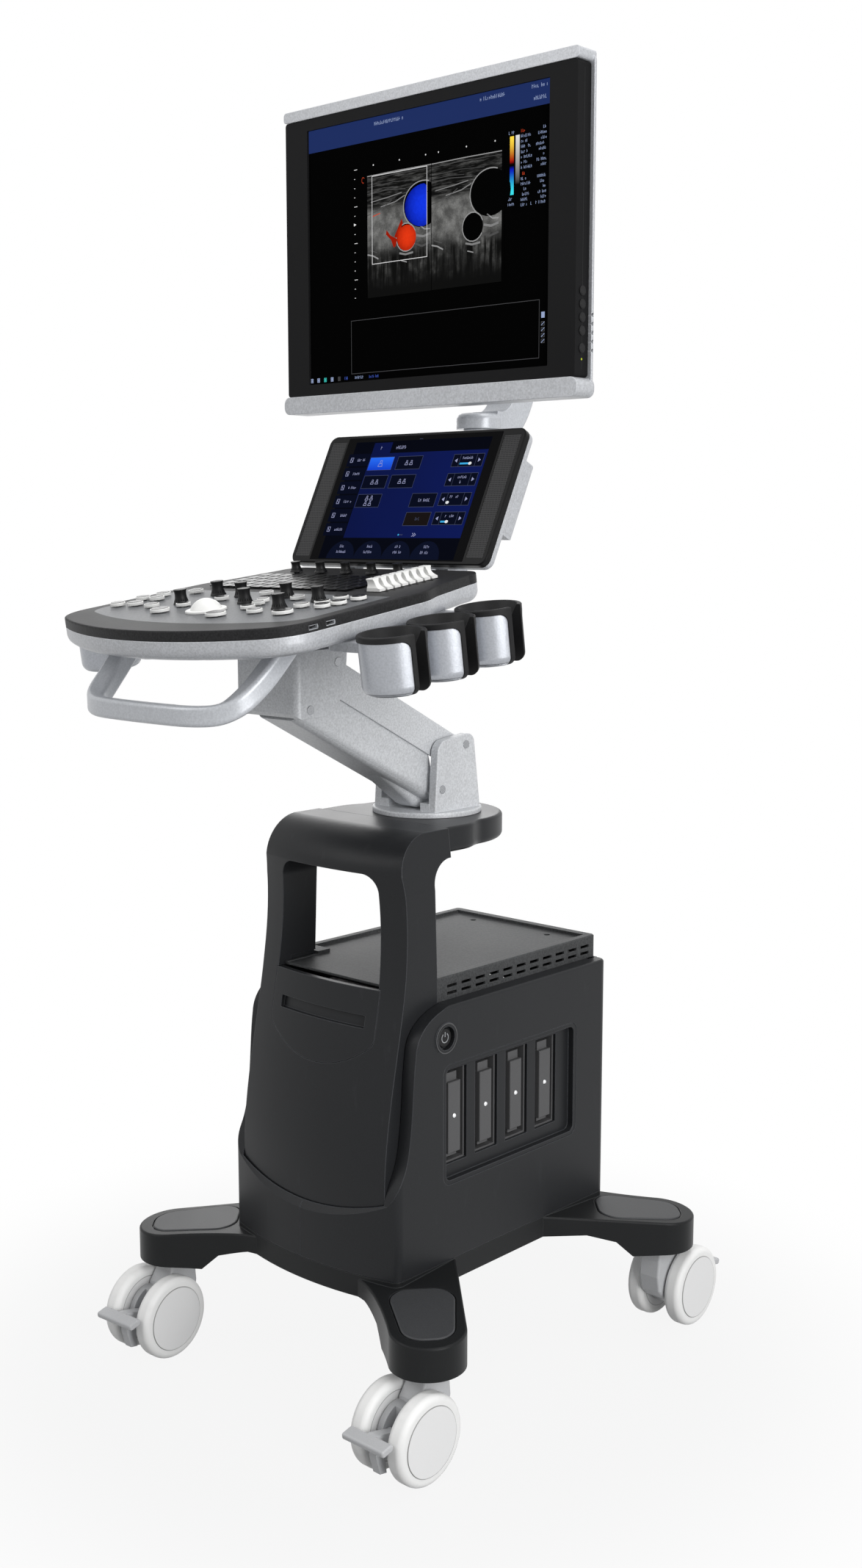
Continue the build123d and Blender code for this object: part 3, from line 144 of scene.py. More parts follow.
class Paint(Recipe):  # one material
    def __init__(self, name, **constants):
        self.material = bpy.data.materials.new(name)
        self.material.use_nodes = True
        super().__init__(self.material.node_tree)
        self.shader = self.tree.nodes["Principled BSDF"]
        self.give(**constants)
        self.place = self.add("ShaderNodeTexCoord", {}, {}, "Object")

    def give(self, **parts):
        for key, value in parts.items():
            self.feed(self.shader.inputs[key.replace("_", " ")], value)

    def stretched(self, sizes):
        return self.add("ShaderNodeVectorMath", {"operation": "MULTIPLY"}, {0: self.place, 1: sizes}, "Vector")

    def noise(self, scale, detail=2.0, where=None):
        values = {"Vector": where or self.place, "Scale": scale, "Detail": detail, "Roughness": 0.55}
        return self.add("ShaderNodeTexNoise", {}, values)

    def mix(self, first, second, part):
        return self.add("ShaderNodeMix", {"data_type": "RGBA"}, {0: part, 6: first, 7: second}, 2)

    def rounded(self, radius):  # the normal with sharp edges rounded
        return self.add("ShaderNodeBevel", {"samples": 4}, {"Radius": radius}, "Normal")

    def dot(self, first, second):
        return self.add("ShaderNodeVectorMath", {"operation": "DOT_PRODUCT"}, {0: first, 1: second}, "Value")

    def length(self, vector):
        return self.add("ShaderNodeVectorMath", {"operation": "LENGTH"}, {0: vector}, "Value")

    def edgeHighlightShare(self, rounded):  # 1 along the edges, 0 on flat faces; where the painted edge highlight goes
        flat = self.add("ShaderNodeNewGeometry", {}, {}, "Normal")
        return (1 - self.dot(rounded, flat)).rise(0.01, 0.16)

    def bump(self, height, strength, depth, rounded=None):
        values = {"Height": height, "Strength": strength, "Distance": depth}
        if rounded:
            values["Normal"] = rounded
        return self.add("ShaderNodeBump", {}, values, "Normal")

    def axes(self):
        split = self.add("ShaderNodeSeparateXYZ", {}, {0: self.place})
        return split, split.other(1), split.other(2)


def tone(red, green, blue):  # screen colour 0 to 255, as a linear one
    parts = []
    for value in (red, green, blue):
        part = value / 255
        parts.append(part / 12.92 if part <= 0.04045 else ((part + 0.055) / 1.055) ** 2.4)
    return (*parts, 1.0)


def scaled(colour, factor):
    return (*(min(part * factor, 1.0) for part in colour[:3]), 1.0)


# colour, spread of tone, grain per metre, bump, roughness, reflection, scuffs, radius of rounded edges,
# how much of an edge gets a painted highlight, and how many times lighter the scuffs and the painted edge highlights
# are
finishes = {
    "graphite": {"colour": (36, 37, 39), "spread": 0.10, "grain": 900, "bump": 0.10, "rough": 0.38, "level": 0.17,
                 "scuff": 0.04, "edge": 0.0016, "line": 0.75, "times": 6.0},
    "leg_black": {"colour": (29, 30, 31), "spread": 0.10, "grain": 900, "bump": 0.10, "rough": 0.38, "level": 0.15,
                  "scuff": 0.04, "edge": 0.0016, "line": 0.6, "times": 5.0},
    "pad_grey": {"colour": (60, 61, 63), "spread": 0.14, "grain": 700, "bump": 0.16, "rough": 0.45, "level": 0.3,
                 "scuff": 0.05, "edge": 0.0016, "line": 0.5, "times": 2.6},
    "tray_black": {"colour": (62, 63, 64), "spread": 0.40, "grain": 420, "bump": 0.5, "rough": 0.55, "level": 0.22,
                   "scuff": 0.06, "edge": 0.0012, "line": 0.5, "times": 2.6},
    "soft_black": {"colour": (24, 24, 25), "spread": 0.15, "grain": 1200, "bump": 0.12, "rough": 0.42, "level": 0.2,
                   "scuff": 0.03, "edge": 0.0006},
    "port_grey": {"colour": (88, 88, 89), "spread": 0.10, "grain": 1200, "bump": 0.08, "rough": 0.45, "level": 0.2,
                  "scuff": 0.03, "edge": 0.0008, "line": 0.5, "times": 2.0},
    "gloss_black": {"colour": (17, 17, 18), "spread": 0.08, "grain": 600, "bump": 0.03, "rough": 0.3, "level": 0.12,
                    "scuff": 0.02, "edge": 0.0012},
    "bezel_black": {"colour": (25, 25, 26), "spread": 0.06, "grain": 700, "bump": 0.02, "rough": 0.45, "level": 0.05,
                    "scuff": 0.02, "edge": 0.0},
    "rim_black": {"colour": (40, 40, 41), "spread": 0.40, "grain": 480, "bump": 0.4, "rough": 0.5, "level": 0.12,
                  "scuff": 0.02, "edge": 0.0016, "line": 0.4, "times": 2.6},
    "silver": {"colour": (190, 192, 196), "spread": 0.16, "grain": 470, "bump": 0.22, "rough": 0.38, "metal": 0.18,
               "level": 0.5, "scuff": 0.02, "edge": 0.0014, "line": 0.9, "times": 1.7},
    "white": {"colour": (242, 242, 240), "spread": 0.02, "grain": 700, "bump": 0.03, "rough": 0.35, "level": 0.4,
              "scuff": 0.02, "edge": 0.0006},
    "light_grey": {"colour": (190, 191, 193), "spread": 0.04, "grain": 700, "bump": 0.05, "rough": 0.4,
                   "level": 0.4, "scuff": 0.03, "edge": 0.0012},
    "bright_silver": {"colour": (196, 199, 204), "spread": 0.10, "grain": 470, "bump": 0.18, "rough": 0.32,
                      "metal": 0.15, "level": 0.6, "scuff": 0.02, "edge": 0.0018, "line": 0.7, "times": 1.5},
    "panel_grey": {"colour": (92, 94, 97), "spread": 0.32, "grain": 480, "bump": 0.3, "rough": 0.45,
                   "level": 0.25, "scuff": 0.02, "edge": 0.0006},
    "arm_silver": {"colour": (207, 209, 212), "spread": 0.16, "grain": 470, "bump": 0.22, "rough": 0.42,
                   "metal": 0.12, "level": 0.45, "scuff": 0.02, "edge": 0.0014, "line": 0.9, "times": 1.5},
    "cup_silver": {"colour": (170, 173, 179), "spread": 0.10, "grain": 520, "bump": 0.16, "rough": 0.30,
                   "metal": 0.5, "level": 0.6, "scuff": 0.02, "edge": 0.0014, "line": 0.6, "times": 1.6},
    "steel": {"colour": (160, 162, 165), "spread": 0.06, "grain": 700, "bump": 0.05, "rough": 0.28, "metal": 0.9,
              "level": 0.5, "scuff": 0.08, "edge": 0.0006},
    "chrome": {"colour": (235, 236, 238), "spread": 0.02, "grain": 700, "bump": 0.0, "rough": 0.16, "metal": 1.0,
               "level": 0.5, "scuff": 0.02, "edge": 0.0},
    "liner_rubber": {"colour": (24, 24, 25), "spread": 0.16, "grain": 700, "bump": 0.15, "rough": 0.5,
                     "level": 0.2, "scuff": 0.03, "edge": 0.0012},
    "screen": {"colour": (2, 2, 2), "spread": 0.05, "grain": 400, "bump": 0.0, "rough": 0.3, "level": 0.0,
               "scuff": 0.0, "edge": 0.0},
    "touch_glass": {"colour": (3, 3, 5), "spread": 0.05, "grain": 400, "bump": 0.0, "rough": 0.16, "level": 0.03,
                    "scuff": 0.0, "edge": 0.0},
}


wear = {"cloud": 7.0, "streak": 60.0, "streakShape": (1.0, 1.0, 0.25), "bumpDepth": 0.0004}


def coat(name, spec):
    colour = tone(*spec["colour"])
    paint = Paint(name, Metallic=spec.get("metal", 0.0), Specular_IOR_Level=spec["level"])
    grain = paint.noise(spec["grain"], 1.0)
    cloud = paint.noise(wear["cloud"], 3.0)
    streak = paint.noise(wear["streak"], 5.0, paint.stretched(wear["streakShape"]))
    scuffs = streak.rise(0.63, 0.74) * spec["scuff"]
    blend = (grain * 0.7 + cloud * 0.3).rise(0.25, 0.75)
    base = paint.mix(scaled(colour, 1 - spec["spread"]), scaled(colour, 1 + spec["spread"]), blend)
    rounded = paint.rounded(spec["edge"]) if spec["edge"] else None
    # the scuffs are real wear; the edges get a painted highlight in the same lighter colour
    light = (scuffs + paint.edgeHighlightShare(rounded) * spec["line"]).atMost(1.0) if "line" in spec else scuffs
    scuffedAndEdgeLit = paint.mix(base, scaled(colour, spec.get("times", 1.6)), light)
    rough = spec["rough"] + (cloud - 0.5) * 0.12 + scuffs * 0.4 + (grain - 0.5) * 0.06
    paint.give(Base_Color=scuffedAndEdgeLit, Roughness=rough)
    if spec["bump"]:
        paint.give(Normal=paint.bump(grain, spec["bump"], wear["bumpDepth"], rounded))
    return paint


paints = {name: coat(name, spec) for name, spec in finishes.items()}
print("finishes mixed:", len(paints))

nodeFinish = {
    "leg_black": ["base_cover"],
    "pad_grey": ["leg_pads"],
    "graphite": ["side_cover_right", "side_cover_left", "rear_cover", "column_cowl",
                 "drive_panel", "head_cover", "port_panel"],
    "tray_black": ["top_tray"],
    "port_grey": ["probe_ports"],
    "soft_black": ["power_button", "electronics", "menu_knobs", "display_buttons"],
    "gloss_black": ["keyboard_keys", "touch_bezel"],
    "bezel_black": ["display_bezel"],
    "rim_black": ["console_rim"],
    "cup_silver": ["probe_cups"],
    "silver": ["display_shell", "console_shell", "touch_shell"],
    "white": ["panel_keys", "trackball", "trackball_ring", "gain_sliders"],
    "bright_silver": ["front_handle", "display_neck", "display_arm"],
    "panel_grey": ["control_panel"],
    "arm_silver": ["turret", "upper_arm", "lower_arm", "head_bracket"],
    "steel": ["chassis_frame", "upper_arm_pins", "lower_arm_pins"],
    "liner_rubber": ["cup_liners"],
    "screen": ["display_screen"],
    "touch_glass": ["touch_glass"],
}


def dress(node, paint):  # one material for a node of the frame
    slots = nodes[node].data.materials
    slots.clear()
    slots.append(paint.material)


for finish, members in nodeFinish.items():
    for member in members:
        dress(member, paints[finish])
for number in range(1, 8):
    dress(f"control_knob_{number}", paints["soft_black"])

casters = {
    "spots": {"fl": (-0.2135, -0.2215, -86.0), "fr": (0.2135, -0.2215, -89.5),  # x, y, turn in degrees
              "rl": (-0.211, 0.2145, 93.0), "rr": (0.211, 0.2145, 93.0)},
    "trail": 0.035, "axleHeight": 0.050, "disc": 0.0386, "seamHalf": 0.0008,
    "tyre": ((247, 247, 246), (238, 238, 237)), "cap": ((240, 240, 240), (229, 229, 229)), "dirt": (140, 139, 138),
}


def wheelPaint(key, spec):  # a pale tyre, a greyer disc inside a fine seam, and some dust
    x, y, turn = spec["spots"][key]
    turn = math.radians(turn)
    trail = spec["trail"]
    centre = (x + trail * math.cos(turn), y + displayFrontY + trail * math.sin(turn), spec["axleHeight"])
    axle = (-math.sin(turn), math.cos(turn), 0.0)
    paint = Paint("wheel_" + key, Specular_IOR_Level=0.35)
    away = paint.add("ShaderNodeVectorMath", {"operation": "SUBTRACT"}, {0: paint.place, 1: centre}, "Vector")
    along = paint.dot(away, axle)
    length = paint.length(away)
    radius = (length * length - along * along) ** 0.5
    disc = spec["disc"]
    half = spec["seamHalf"]
    seam = radius.band(disc - half, disc - 0.0001, disc + 0.0001, disc + half)
    grain = paint.noise(900.0)
    dust = paint.noise(40.0, 4.0).rise(0.55, 0.8) * radius.rise(0.040, 0.050) * 0.25
    tyre = paint.mix(*(tone(*colour) for colour in spec["tyre"]), grain * 0.4)
    cap = paint.mix(*(tone(*colour) for colour in spec["cap"]), grain * 0.5)
    both = paint.mix(tyre, cap, radius < disc)
    both = paint.mix(both, tone(*spec["dirt"]), (dust * 0.5 + seam * 0.75).atMost(1.0))
    paint.give(Base_Color=both, Roughness=0.42 + dust * 0.5 + grain * 0.05)
    paint.give(Normal=paint.bump(grain, 0.06, wear["bumpDepth"], paint.rounded(0.0016)))
    return paint


for key in casters["spots"]:
    dress("caster_wheels_" + key, wheelPaint(key, casters))
    dress("caster_housing_" + key, paints["light_grey"])
    dress("caster_pedal_" + key, paints["light_grey"])
print("frame painted")


def arc(x, y, rx, ry, start=0.0, end=360.0, steps=28):  # points of an ellipse between two angles in degrees
    turns = [math.radians(start + (end - start) * i / steps) for i in range(steps + 1)]
    return [(x + rx * math.cos(turn), y + ry * math.sin(turn)) for turn in turns]


# strokes that read as small text, as shares of the height and as chances
lettering = {"step": 0.62, "stroke": 0.13, "wide": 0.68, "gap": 0.12, "crossed": 0.75, "doubled": 0.5}


class Drawing:  # shapes laid on a plane, one mesh with several finishes
    def __init__(self, name, place, lift=0.02):
        self.name = name
        self.place = place
        self.mesh = bmesh.new()
        self.paints = []
        self.lift = lift

    def shape(self, paint, points, level):
        if paint not in self.paints:
            self.paints.append(paint)
        corners = [self.mesh.verts.new(self.place @ Vector((x, y, level * self.lift))) for x, y in points]
        face = self.mesh.faces.new(corners)
        face.material_index = self.paints.index(paint)

    def bar(self, paint, x0, x1, y0, y1, level, slant=0.0):
        self.shape(paint, [(x0, y0), (x1, y0), (x1 + slant, y1), (x0 + slant, y1)], level)

    def outline(self, paint, x0, x1, y0, y1, width, level):
        self.bar(paint, x0, x1, y0, y0 + width, level)
        self.bar(paint, x0, x1, y1 - width, y1, level)
        self.bar(paint, x0, x0 + width, y0, y1, level)
        self.bar(paint, x1 - width, x1, y0, y1, level)

    def oval(self, paint, x, y, rx, ry, level, start=0.0, end=360.0, steps=28):
        points = arc(x, y, rx, ry, start, end, steps)
        self.shape(paint, points[:-1] if end - start == 360 else points, level)

    def ribbon(self, paint, points, width, level):
        for (xa, ya), (xb, yb) in zip(points, points[1:]):
            length = math.hypot(xb - xa, yb - ya) or 1.0
            nx = -(yb - ya) / length * width / 2
            ny = (xb - xa) / length * width / 2
            self.shape(paint, [(xa - nx, ya - ny), (xb - nx, yb - ny), (xb + nx, yb + ny), (xa + nx, ya + ny)], level)

    def words(self, paint, x, y, width, height, level, seed):
        chance = random.Random(seed)
        step = height * lettering["step"]
        stroke = height * lettering["stroke"]
        wide = step * lettering["wide"]
        at = x
        while at + step * 0.7 <= x + width:
            if chance.random() < lettering["gap"]:
                at += step
                continue
            top = y + height * chance.choice((0.7, 1.0, 1.0))
            self.bar(paint, at, at + stroke, y, top, level)
            if chance.random() < lettering["crossed"]:
                cross = y + height * chance.choice((0.0, 0.35, 0.6))
                self.bar(paint, at, at + wide, cross, cross + stroke, level)
            if chance.random() < lettering["doubled"]:
                self.bar(paint, at + step * 0.55, at + wide, y, y + height * 0.65, level)
            at += step

    def finish(self, body, slotName):
        placed(self.name, self.mesh, self.paints, body)


def placed(name, mesh, usedPaints, body):  # makes the piece and lets it ride its body
    data = bpy.data.meshes.new(name)
    mesh.to_mesh(data)
    mesh.free()
    for paint in usedPaints:
        data.materials.append(paint.material)
    piece = bpy.data.objects.new(name, data)
    bpy.context.scene.collection.objects.link(piece)
    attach(piece, body)
    return piece


def picturePaint(name, rough=0.3, strength=1.0):  # shines by itself and reflects nothing
    return Paint(name, Base_Color=(0.002, 0.002, 0.002, 1), Roughness=rough, Specular_IOR_Level=0.0,
                 Emission_Strength=strength)


def glow(name, colour, strength=1.0):
    paint = picturePaint(name, strength=strength)
    paint.give(Emission_Color=tone(*colour))
    return paint


# the main display's picture: half its width, then heights above the floor in millimetres
mainScreen = {
    "inks": {
        "black": (0, 0, 0), "bar": (30, 46, 96), "text": (150, 165, 200), "white": (225, 225, 225),
        "dim": (70, 70, 72), "edge": (150, 150, 150), "soft": (78, 78, 78), "echo": (128, 128, 128),
        "orange": (200, 70, 40), "teal": (60, 190, 180), "link": (70, 95, 190),
    },
    "half": 188.2, "low": 1181.0, "high": 1482.1, "barLow": 1456.0,
    "views": (-89.0, 14.1, 119.5), "imageTop": 1417.6, "imageLow": 1277.0,
    "layers": (  # lines of one view: ink, points from its left edge, width, levels above the picture
        ("soft", ((0, 1404.0), (44, 1405.2), (80, 1403.0)), 0.5, 1),
        ("soft", ((0, 1399.5), (26, 1400.5), (50, 1399.0)), 0.5, 1),
        ("soft", ((0, 1396.0), (30, 1397.5), (62, 1395.0)), 0.8, 1),
        ("echo", ((6, 1386.5), (34, 1389.0), (56, 1391.6)), 1.0, 1),
        ("echo", ((22, 1379.4), (46, 1382.6), (61, 1388.0)), 1.2, 1),
        ("soft", ((0, 1372.0), (24, 1377.0), (40, 1385.0)), 0.8, 1),
    ),
    "vessels": ((89.0, 1374.6, 29.4, 25.4, 70, 235), (63.0, 1340.6, 15.2, 15.4, 20, 330)),
    "walls": (
        ("edge", ((0, 1327.0), (9, 1325.0), (18, 1320.6)), 1.6, 2),
        ("soft", ((4, 1331.8), (16, 1328.0)), 1.2, 2),
        ("edge", ((84, 1352.0), (92, 1346.6), (101, 1346.0)), 1.4, 2),
        ("echo", ((79, 1341.0), (90, 1338.6), (101, 1341.0)), 2.6, 1),
        ("soft", ((77, 1332.0), (88, 1328.0), (101, 1331.0)), 2.4, 1),
        ("echo", ((52, 1323.6), (62, 1321.4), (74, 1322.6)), 2.2, 1),
        ("edge", ((55, 1315.0), (64, 1312.6)), 1.2, 2),
    ),
    "flows": {  # deep and bright colour, middle, size
        "flow_blue": ((2, 10, 120), (20, 60, 245), (2.0, 1374.0), 30.0),
        "flow_red": ((150, 25, 5), (240, 60, 20), (-24.0, 1341.0), 18.0),
    },
    "blueArc": (0.6, 1373.6, 28.56, 23.6, 86, 274, 20), "blueEnds": ((6.8, 1394.6), (6.8, 1351.6)),
    "redSpot": (-25.2, 1340.0, 15.0, 14.6),
    "redWash": (
        ((-40, 1340), (-51, 1345), (-57.5, 1352.0), (-58.5, 1347), (-50, 1340), (-46, 1331), (-43, 1332)),
        ((-45, 1343), (-33, 1362), (-31, 1357), (-40, 1341)),
    ),
    "pointer": ((-80, 1370.0), (-68, 1372.4)), "flowBox": (-81.2, 7.6, 1315.0, 1416.0),
    "labels": (  # ink, place, width, height, seed
        ("text", 129, 1431.6, 9, 3.4, 9), ("text", 128, 1362.0, 9, 3.4, 10), ("text", 128, 1356.4, 9, 3.0, 11),
        ("link", -129.0, 1184.2, 7, 3.6, 80), ("text", -111.5, 1184.2, 16, 3.4, 81),
        ("link", -87.4, 1184.0, 18, 3.4, 82),
    ),
    "headings": ((-77, 1472.6, 48, 4.0), (87, 1473.6, 37, 4.2), (161, 1475.0, 24, 4.2), (164, 1462.6, 20, 4.2)),
    "marks": {"across": (-78.9, -36.6, 4.9, 24.7, 67.0, 109.2), "high": 1428.4, "left": -110.8, "top": 1426.6,
              "pitch": 10.55, "count": 15, "arrow": ((-111.6, 1362.2), (-107.6, 1363.9), (-111.6, 1365.6)),
              "dots": (-95.8, 1413.2, 2.2, 3.2, 45, 285, 8)},
    "flowScale": (130.6, 136.3, 1367.8, 1429.6), "greyScale": (138.7, 144.4, 1378.6, 1429.9),
    "table": {"rows": 15, "top": 1432.0, "pitch": 5.5, "left": 146.5, "right": 182.5, "height": 3.2},
    "box": (-117.5, 174.2, 1190.1, 1252.9), "icons": (-186.4, -174.8, -162.9, -151.0, -138.6), "iconLow": 1183.4,
    "side": {"across": (176.6, 181.6), "low": 1206.0, "pitch": 6.2, "count": 4,
             "bar": (176.8, 181.6, 1233.0, 1239.4)},
}


def tissuePaint(spec):  # grey layers above, speckled tissue in the middle, fading beams below
    paint = picturePaint("tissue_picture")
    low, high = spec["imageLow"] / 1000, spec["imageTop"] / 1000
    rise = (paint.axes()[2] - low) / (high - low)
    speckle = paint.noise(900.0, 3.0)
    layers = paint.noise(1.0, 4.0, paint.stretched((45.0, 1.0, 330.0)))
    beams = paint.noise(1.0, 3.0, paint.stretched((150.0, 1.0, 14.0)))
    patches = paint.noise(75.0, 4.0)
    middle = rise.band(0.30, 0.50, 0.66, 0.76)
    top = rise.rise(0.66, 0.76)
    foot = rise.band(0.04, 0.30, 0.30, 0.50)
    light = middle * (0.07 + patches.rise(0.30, 0.75) * 0.13) + top * layers.rise(0.42, 0.80) * 0.10
    light = light + foot * beams.rise(0.38, 0.75) * (0.03 + patches.rise(0.40, 0.80) * 0.16)
    light = light * (0.45 + speckle * 1.1) + 0.004
    colour = paint.mix((0.0, 0.0, 0.0, 1), (1.0, 1.0, 0.97, 1), light.atMost(1.0))
    paint.give(Emission_Color=colour)
    return paint


def flowPaint(name, deep, bright, middle, size):  # blood flow, brighter in the middle of its vessel
    paint = picturePaint(name)
    x, y, z = paint.axes()
    across = (x - middle[0] / 1000) / (size / 1000)
    up = (z - middle[1] / 1000) / (size / 1000)
    reach = across * across + up * up
    patch = paint.noise(260.0, 2.0) * 0.35
    paint.give(Emission_Color=paint.mix(tone(*bright), tone(*deep), (reach * 0.8 + patch).atMost(1.0)))
    return paint


def scalePaint(low, high):
    paint = picturePaint("velocity_scale")
    rise = (paint.axes()[2] - low / 1000) / ((high - low) / 1000)
    warm = paint.mix(tone(170, 20, 10), tone(255, 220, 70), rise.rise(0.56, 1.0))
    cold = paint.mix(tone(60, 225, 235), tone(10, 30, 190), rise.rise(0.0, 0.44))
    both = paint.mix(cold, warm, rise > 0.5)
    paint.give(Emission_Color=paint.mix(both, (0.0, 0.0, 0.0, 1), rise.band(0.42, 0.50, 0.52, 0.60)))
    return paint


def fadePaint(name, start, end, low, high, rough=0.3):  # one colour below, another above
    paint = picturePaint(name, rough)
    rise = (paint.axes()[2] - low / 1000) / ((high - low) / 1000)
    paint.give(Emission_Color=paint.mix(tone(*start), tone(*end), rise))
    return paint


def vessel(draw, ink, x, y, rx, ry, start, end, level):  # a dark opening with a bright line along part of its edge
    draw.oval(ink["black"], x, y, rx, ry, level)
    draw.ribbon(ink["edge"], arc(x, y, rx * 1.03, ry * 1.03, start, end, 16), 1.2, level + 1)


def drawLayers(draw, ink, lines, start, base):
    for name, line, width, rise in lines:
        draw.ribbon(ink[name], [(start + x, z) for x, z in line], width, base + rise)


def drawViews(draw, ink, spec):  # the same view twice: the second covers the first one's overhang
    black, edge, soft = ink["black"], ink["edge"], ink["soft"]
    tissue = tissuePaint(spec)
    blue, red = (flowPaint(name, *look) for name, look in spec["flows"].items())
    low, high = spec["imageLow"], spec["imageTop"]
    left, middle, right = spec["views"]
    for start, stop, base in ((left, middle, 2), (middle, right, 7)):
        draw.bar(tissue, start, stop, low, high, base)
        draw.ribbon(edge, [(start, 1416.5), (start + 50, 1417.0), (stop, 1416.6)], 1.0, base + 1)
        draw.ribbon(soft, [(start, 1412.6), (start + 40, 1413.6), (stop, 1413.0)], 0.6, base + 1)
        drawLayers(draw, ink, spec["layers"], start, base)
        for x, *shape in spec["vessels"]:
            vessel(draw, ink, start + x, *shape, base + 2)
        drawLayers(draw, ink, spec["walls"], start, base)
    draw.bar(black, right, right + 4, low - 7, high + 7.4, 12)  # trims the vessel at the picture's edge
    draw.bar(black, middle - 0.4, middle + 0.4, low, high, 12)
    first, last = spec["blueEnds"]
    draw.shape(blue, [first, *arc(*spec["blueArc"]), last], 6)
    draw.oval(red, *spec["redSpot"], 6)
    for shape in spec["redWash"]:
        draw.shape(red, shape, 6)
    draw.ribbon(ink["orange"], spec["pointer"], 1.0, 6)
    draw.outline(ink["white"], *spec["flowBox"], 0.7, 13)


def drawMarks(draw, ink, marks):  # depth marks, every fourth one long, and a dotted round mark
    white = ink["white"]
    for x in marks["across"]:
        draw.oval(white, x, marks["high"], 0.9, 0.9, 3)
    for i in range(marks["count"]):
        z = marks["top"] - i * marks["pitch"]
        wide = 5.2 if i % 4 == 0 else 1.8
        draw.bar(white, marks["left"], marks["left"] + wide, z - 0.35, z + 0.35, 3)
    draw.shape(white, marks["arrow"], 3)
    for x, z in arc(*marks["dots"]):
        draw.bar(ink["orange"], x - 0.4, x + 0.4, z - 0.4, z + 0.4, 3)


def drawScales(draw, spec):
    flow, grey = spec["flowScale"], spec["greyScale"]
    draw.bar(scalePaint(*flow[2:]), *flow, 3)
    draw.bar(fadePaint("grey_scale", (20, 20, 20), (225, 225, 225), *grey[2:]), *grey, 3)


def drawTable(draw, ink, table):  # two columns of small text with two headings
    second = 8
    for row in range(table["rows"]):
        heading = row in (0, second)
        z = table["top"] - row * table["pitch"] - (0.8 if row >= second else 0)
        wide = 6 if heading else 9 + (row * 5) % 9
        draw.words(ink["orange" if heading else "text"], table["left"], z, wide, table["height"], 3, 20 + row)
        if row != second:
            wide = 5 + (row * 7) % 11
            draw.words(ink["text"], table["right"] - wide, z, wide, table["height"], 3, 50 + row)


def drawIcons(draw, ink, spec):
    side = spec["side"]
    x0, x1 = side["across"]
    draw.bar(ink["text"], *side["bar"], 3)
    for i in range(side["count"]):
        z = side["low"] + i * side["pitch"]
        draw.outline(ink["dim"], x0, x1, z, z + 4.6, 0.7, 3)
        draw.ribbon(ink["text"], [(x0 + 0.2, z + 0.6), (x1 - 0.2, z + 4.0)], 0.6, 4)
    low = spec["iconLow"]
    for x, name in zip(spec["icons"], ("text", "text", "teal", "text", "dim")):
        draw.outline(ink[name], x - 2.2, x + 2.2, low, low + 5.0, 0.8, 3)
        draw.bar(ink[name], x - 1.0, x + 1.0, low + 1.2, low + 3.8, 3)


def drawMainScreen(spec):
    ink = {name: glow("screen_" + name, colour) for name, colour in spec["inks"].items()}
    half = spec["half"]
    draw = Drawing("screen_picture", screenPlace, 0.04)
    draw.bar(ink["black"], -half, half, spec["low"], spec["high"], 1)
    draw.bar(ink["bar"], -half, half, spec["barLow"], spec["high"], 2)
    for number, (x, z, wide, high) in enumerate(spec["headings"]):
        draw.words(ink["text"], x, z, wide, high, 3, 3 + number)
    drawViews(draw, ink, spec)
    drawMarks(draw, ink, spec["marks"])
    drawScales(draw, spec)
    for name, x, z, wide, high, seed in spec["labels"]:
        draw.words(ink[name], x, z, wide, high, 3, seed)
    drawTable(draw, ink, spec["table"])
    draw.outline(ink["dim"], *spec["box"], 0.6, 3)
    drawIcons(draw, ink, spec)
    draw.finish("display", "screen")


drawMainScreen(mainScreen)

# the touch panel's picture, in millimetres from the middle of its glass
touchScreen = {
    "inks": {
        "dark": ((3, 5, 16), 1.0), "edge": ((88, 96, 128), 0.6), "text": ((170, 175, 215), 0.8),
        "cyan": ((60, 170, 225), 1.0), "white": ((225, 228, 230), 1.0), "brown": ((22, 17, 17), 1.0),
        "disc": ((9, 15, 36), 1.0), "tile": ((5, 9, 28), 1.0),
    },
    "navy": ((9, 18, 62), (12, 26, 92)), "bright": ((16, 60, 200), (40, 110, 245), 1073.7, 1089.4),
    "face": -9.0,  # just above the glass, in levels of this drawing
    "screen": (-108.5, 108.3, -79.0, 75.0), "field": (-77.4, 108.3, -52.0, 58.8), "tab": (-76.9, -47.0, 58.8, 73.2),
    "menu": {"rows": 6, "top": 51.0, "pitch": 18.4, "across": (-114.0, -78.4), "half": 8.2, "icon": (-109.4, -104.6)},
    "buttons": ((-75.8, 53.8), (-29.6, 53.8), (-76.0, 29.6), (-31.2, 29.6), (-76.0, 5.0)),
    "figures": (1, 2, 2, 2, 4), "buttonSize": (39.6, 17.4),
    "steppers": ((58.6, 53.9, 0.85), (58.0, 29.6, None), (57.7, 4.9, 0.05), (57.7, -19.2, 0.5)),
    "stepperSize": (46.5, 16.4), "dials": {"count": 4, "left": -73.0, "pitch": 45.2, "low": -79.0},
    "boxes": (("tile", 12.4, 52.0, -12.9, 5.0), ("brown", 12.6, 52.0, -36.6, -19.2)),
    "dots": (("cyan", 11.2, 1.1), ("edge", 14.2, 0.8), ("edge", 16.8, 0.8)), "dotHeight": -48.0,
    "arrows": (32.6, 35.6), "line": 0.45,
    "labels": (  # ink, place, width, height, level above the face, seed
        ("text", -64.0, 64.0, 3.6, 4.4, 3, 5), ("text", -38.6, 64.0, 16.0, 4.4, 3, 6),
        ("text", 20.0, -5.8, 25.0, 4.2, 4, 31), ("edge", 27.0, -29.6, 10.0, 4.0, 4, 32),
    ),
}
# one little drawing on a layout button, as shares of its half width
figureLines = (((-1, -1), (1, -1), (0.7, 0.1), (-0.7, 0.1), (-1, -1)),
               ((-0.4, 0.1), (-0.4, 1.3), (0.4, 1.3), (0.4, 0.1)))


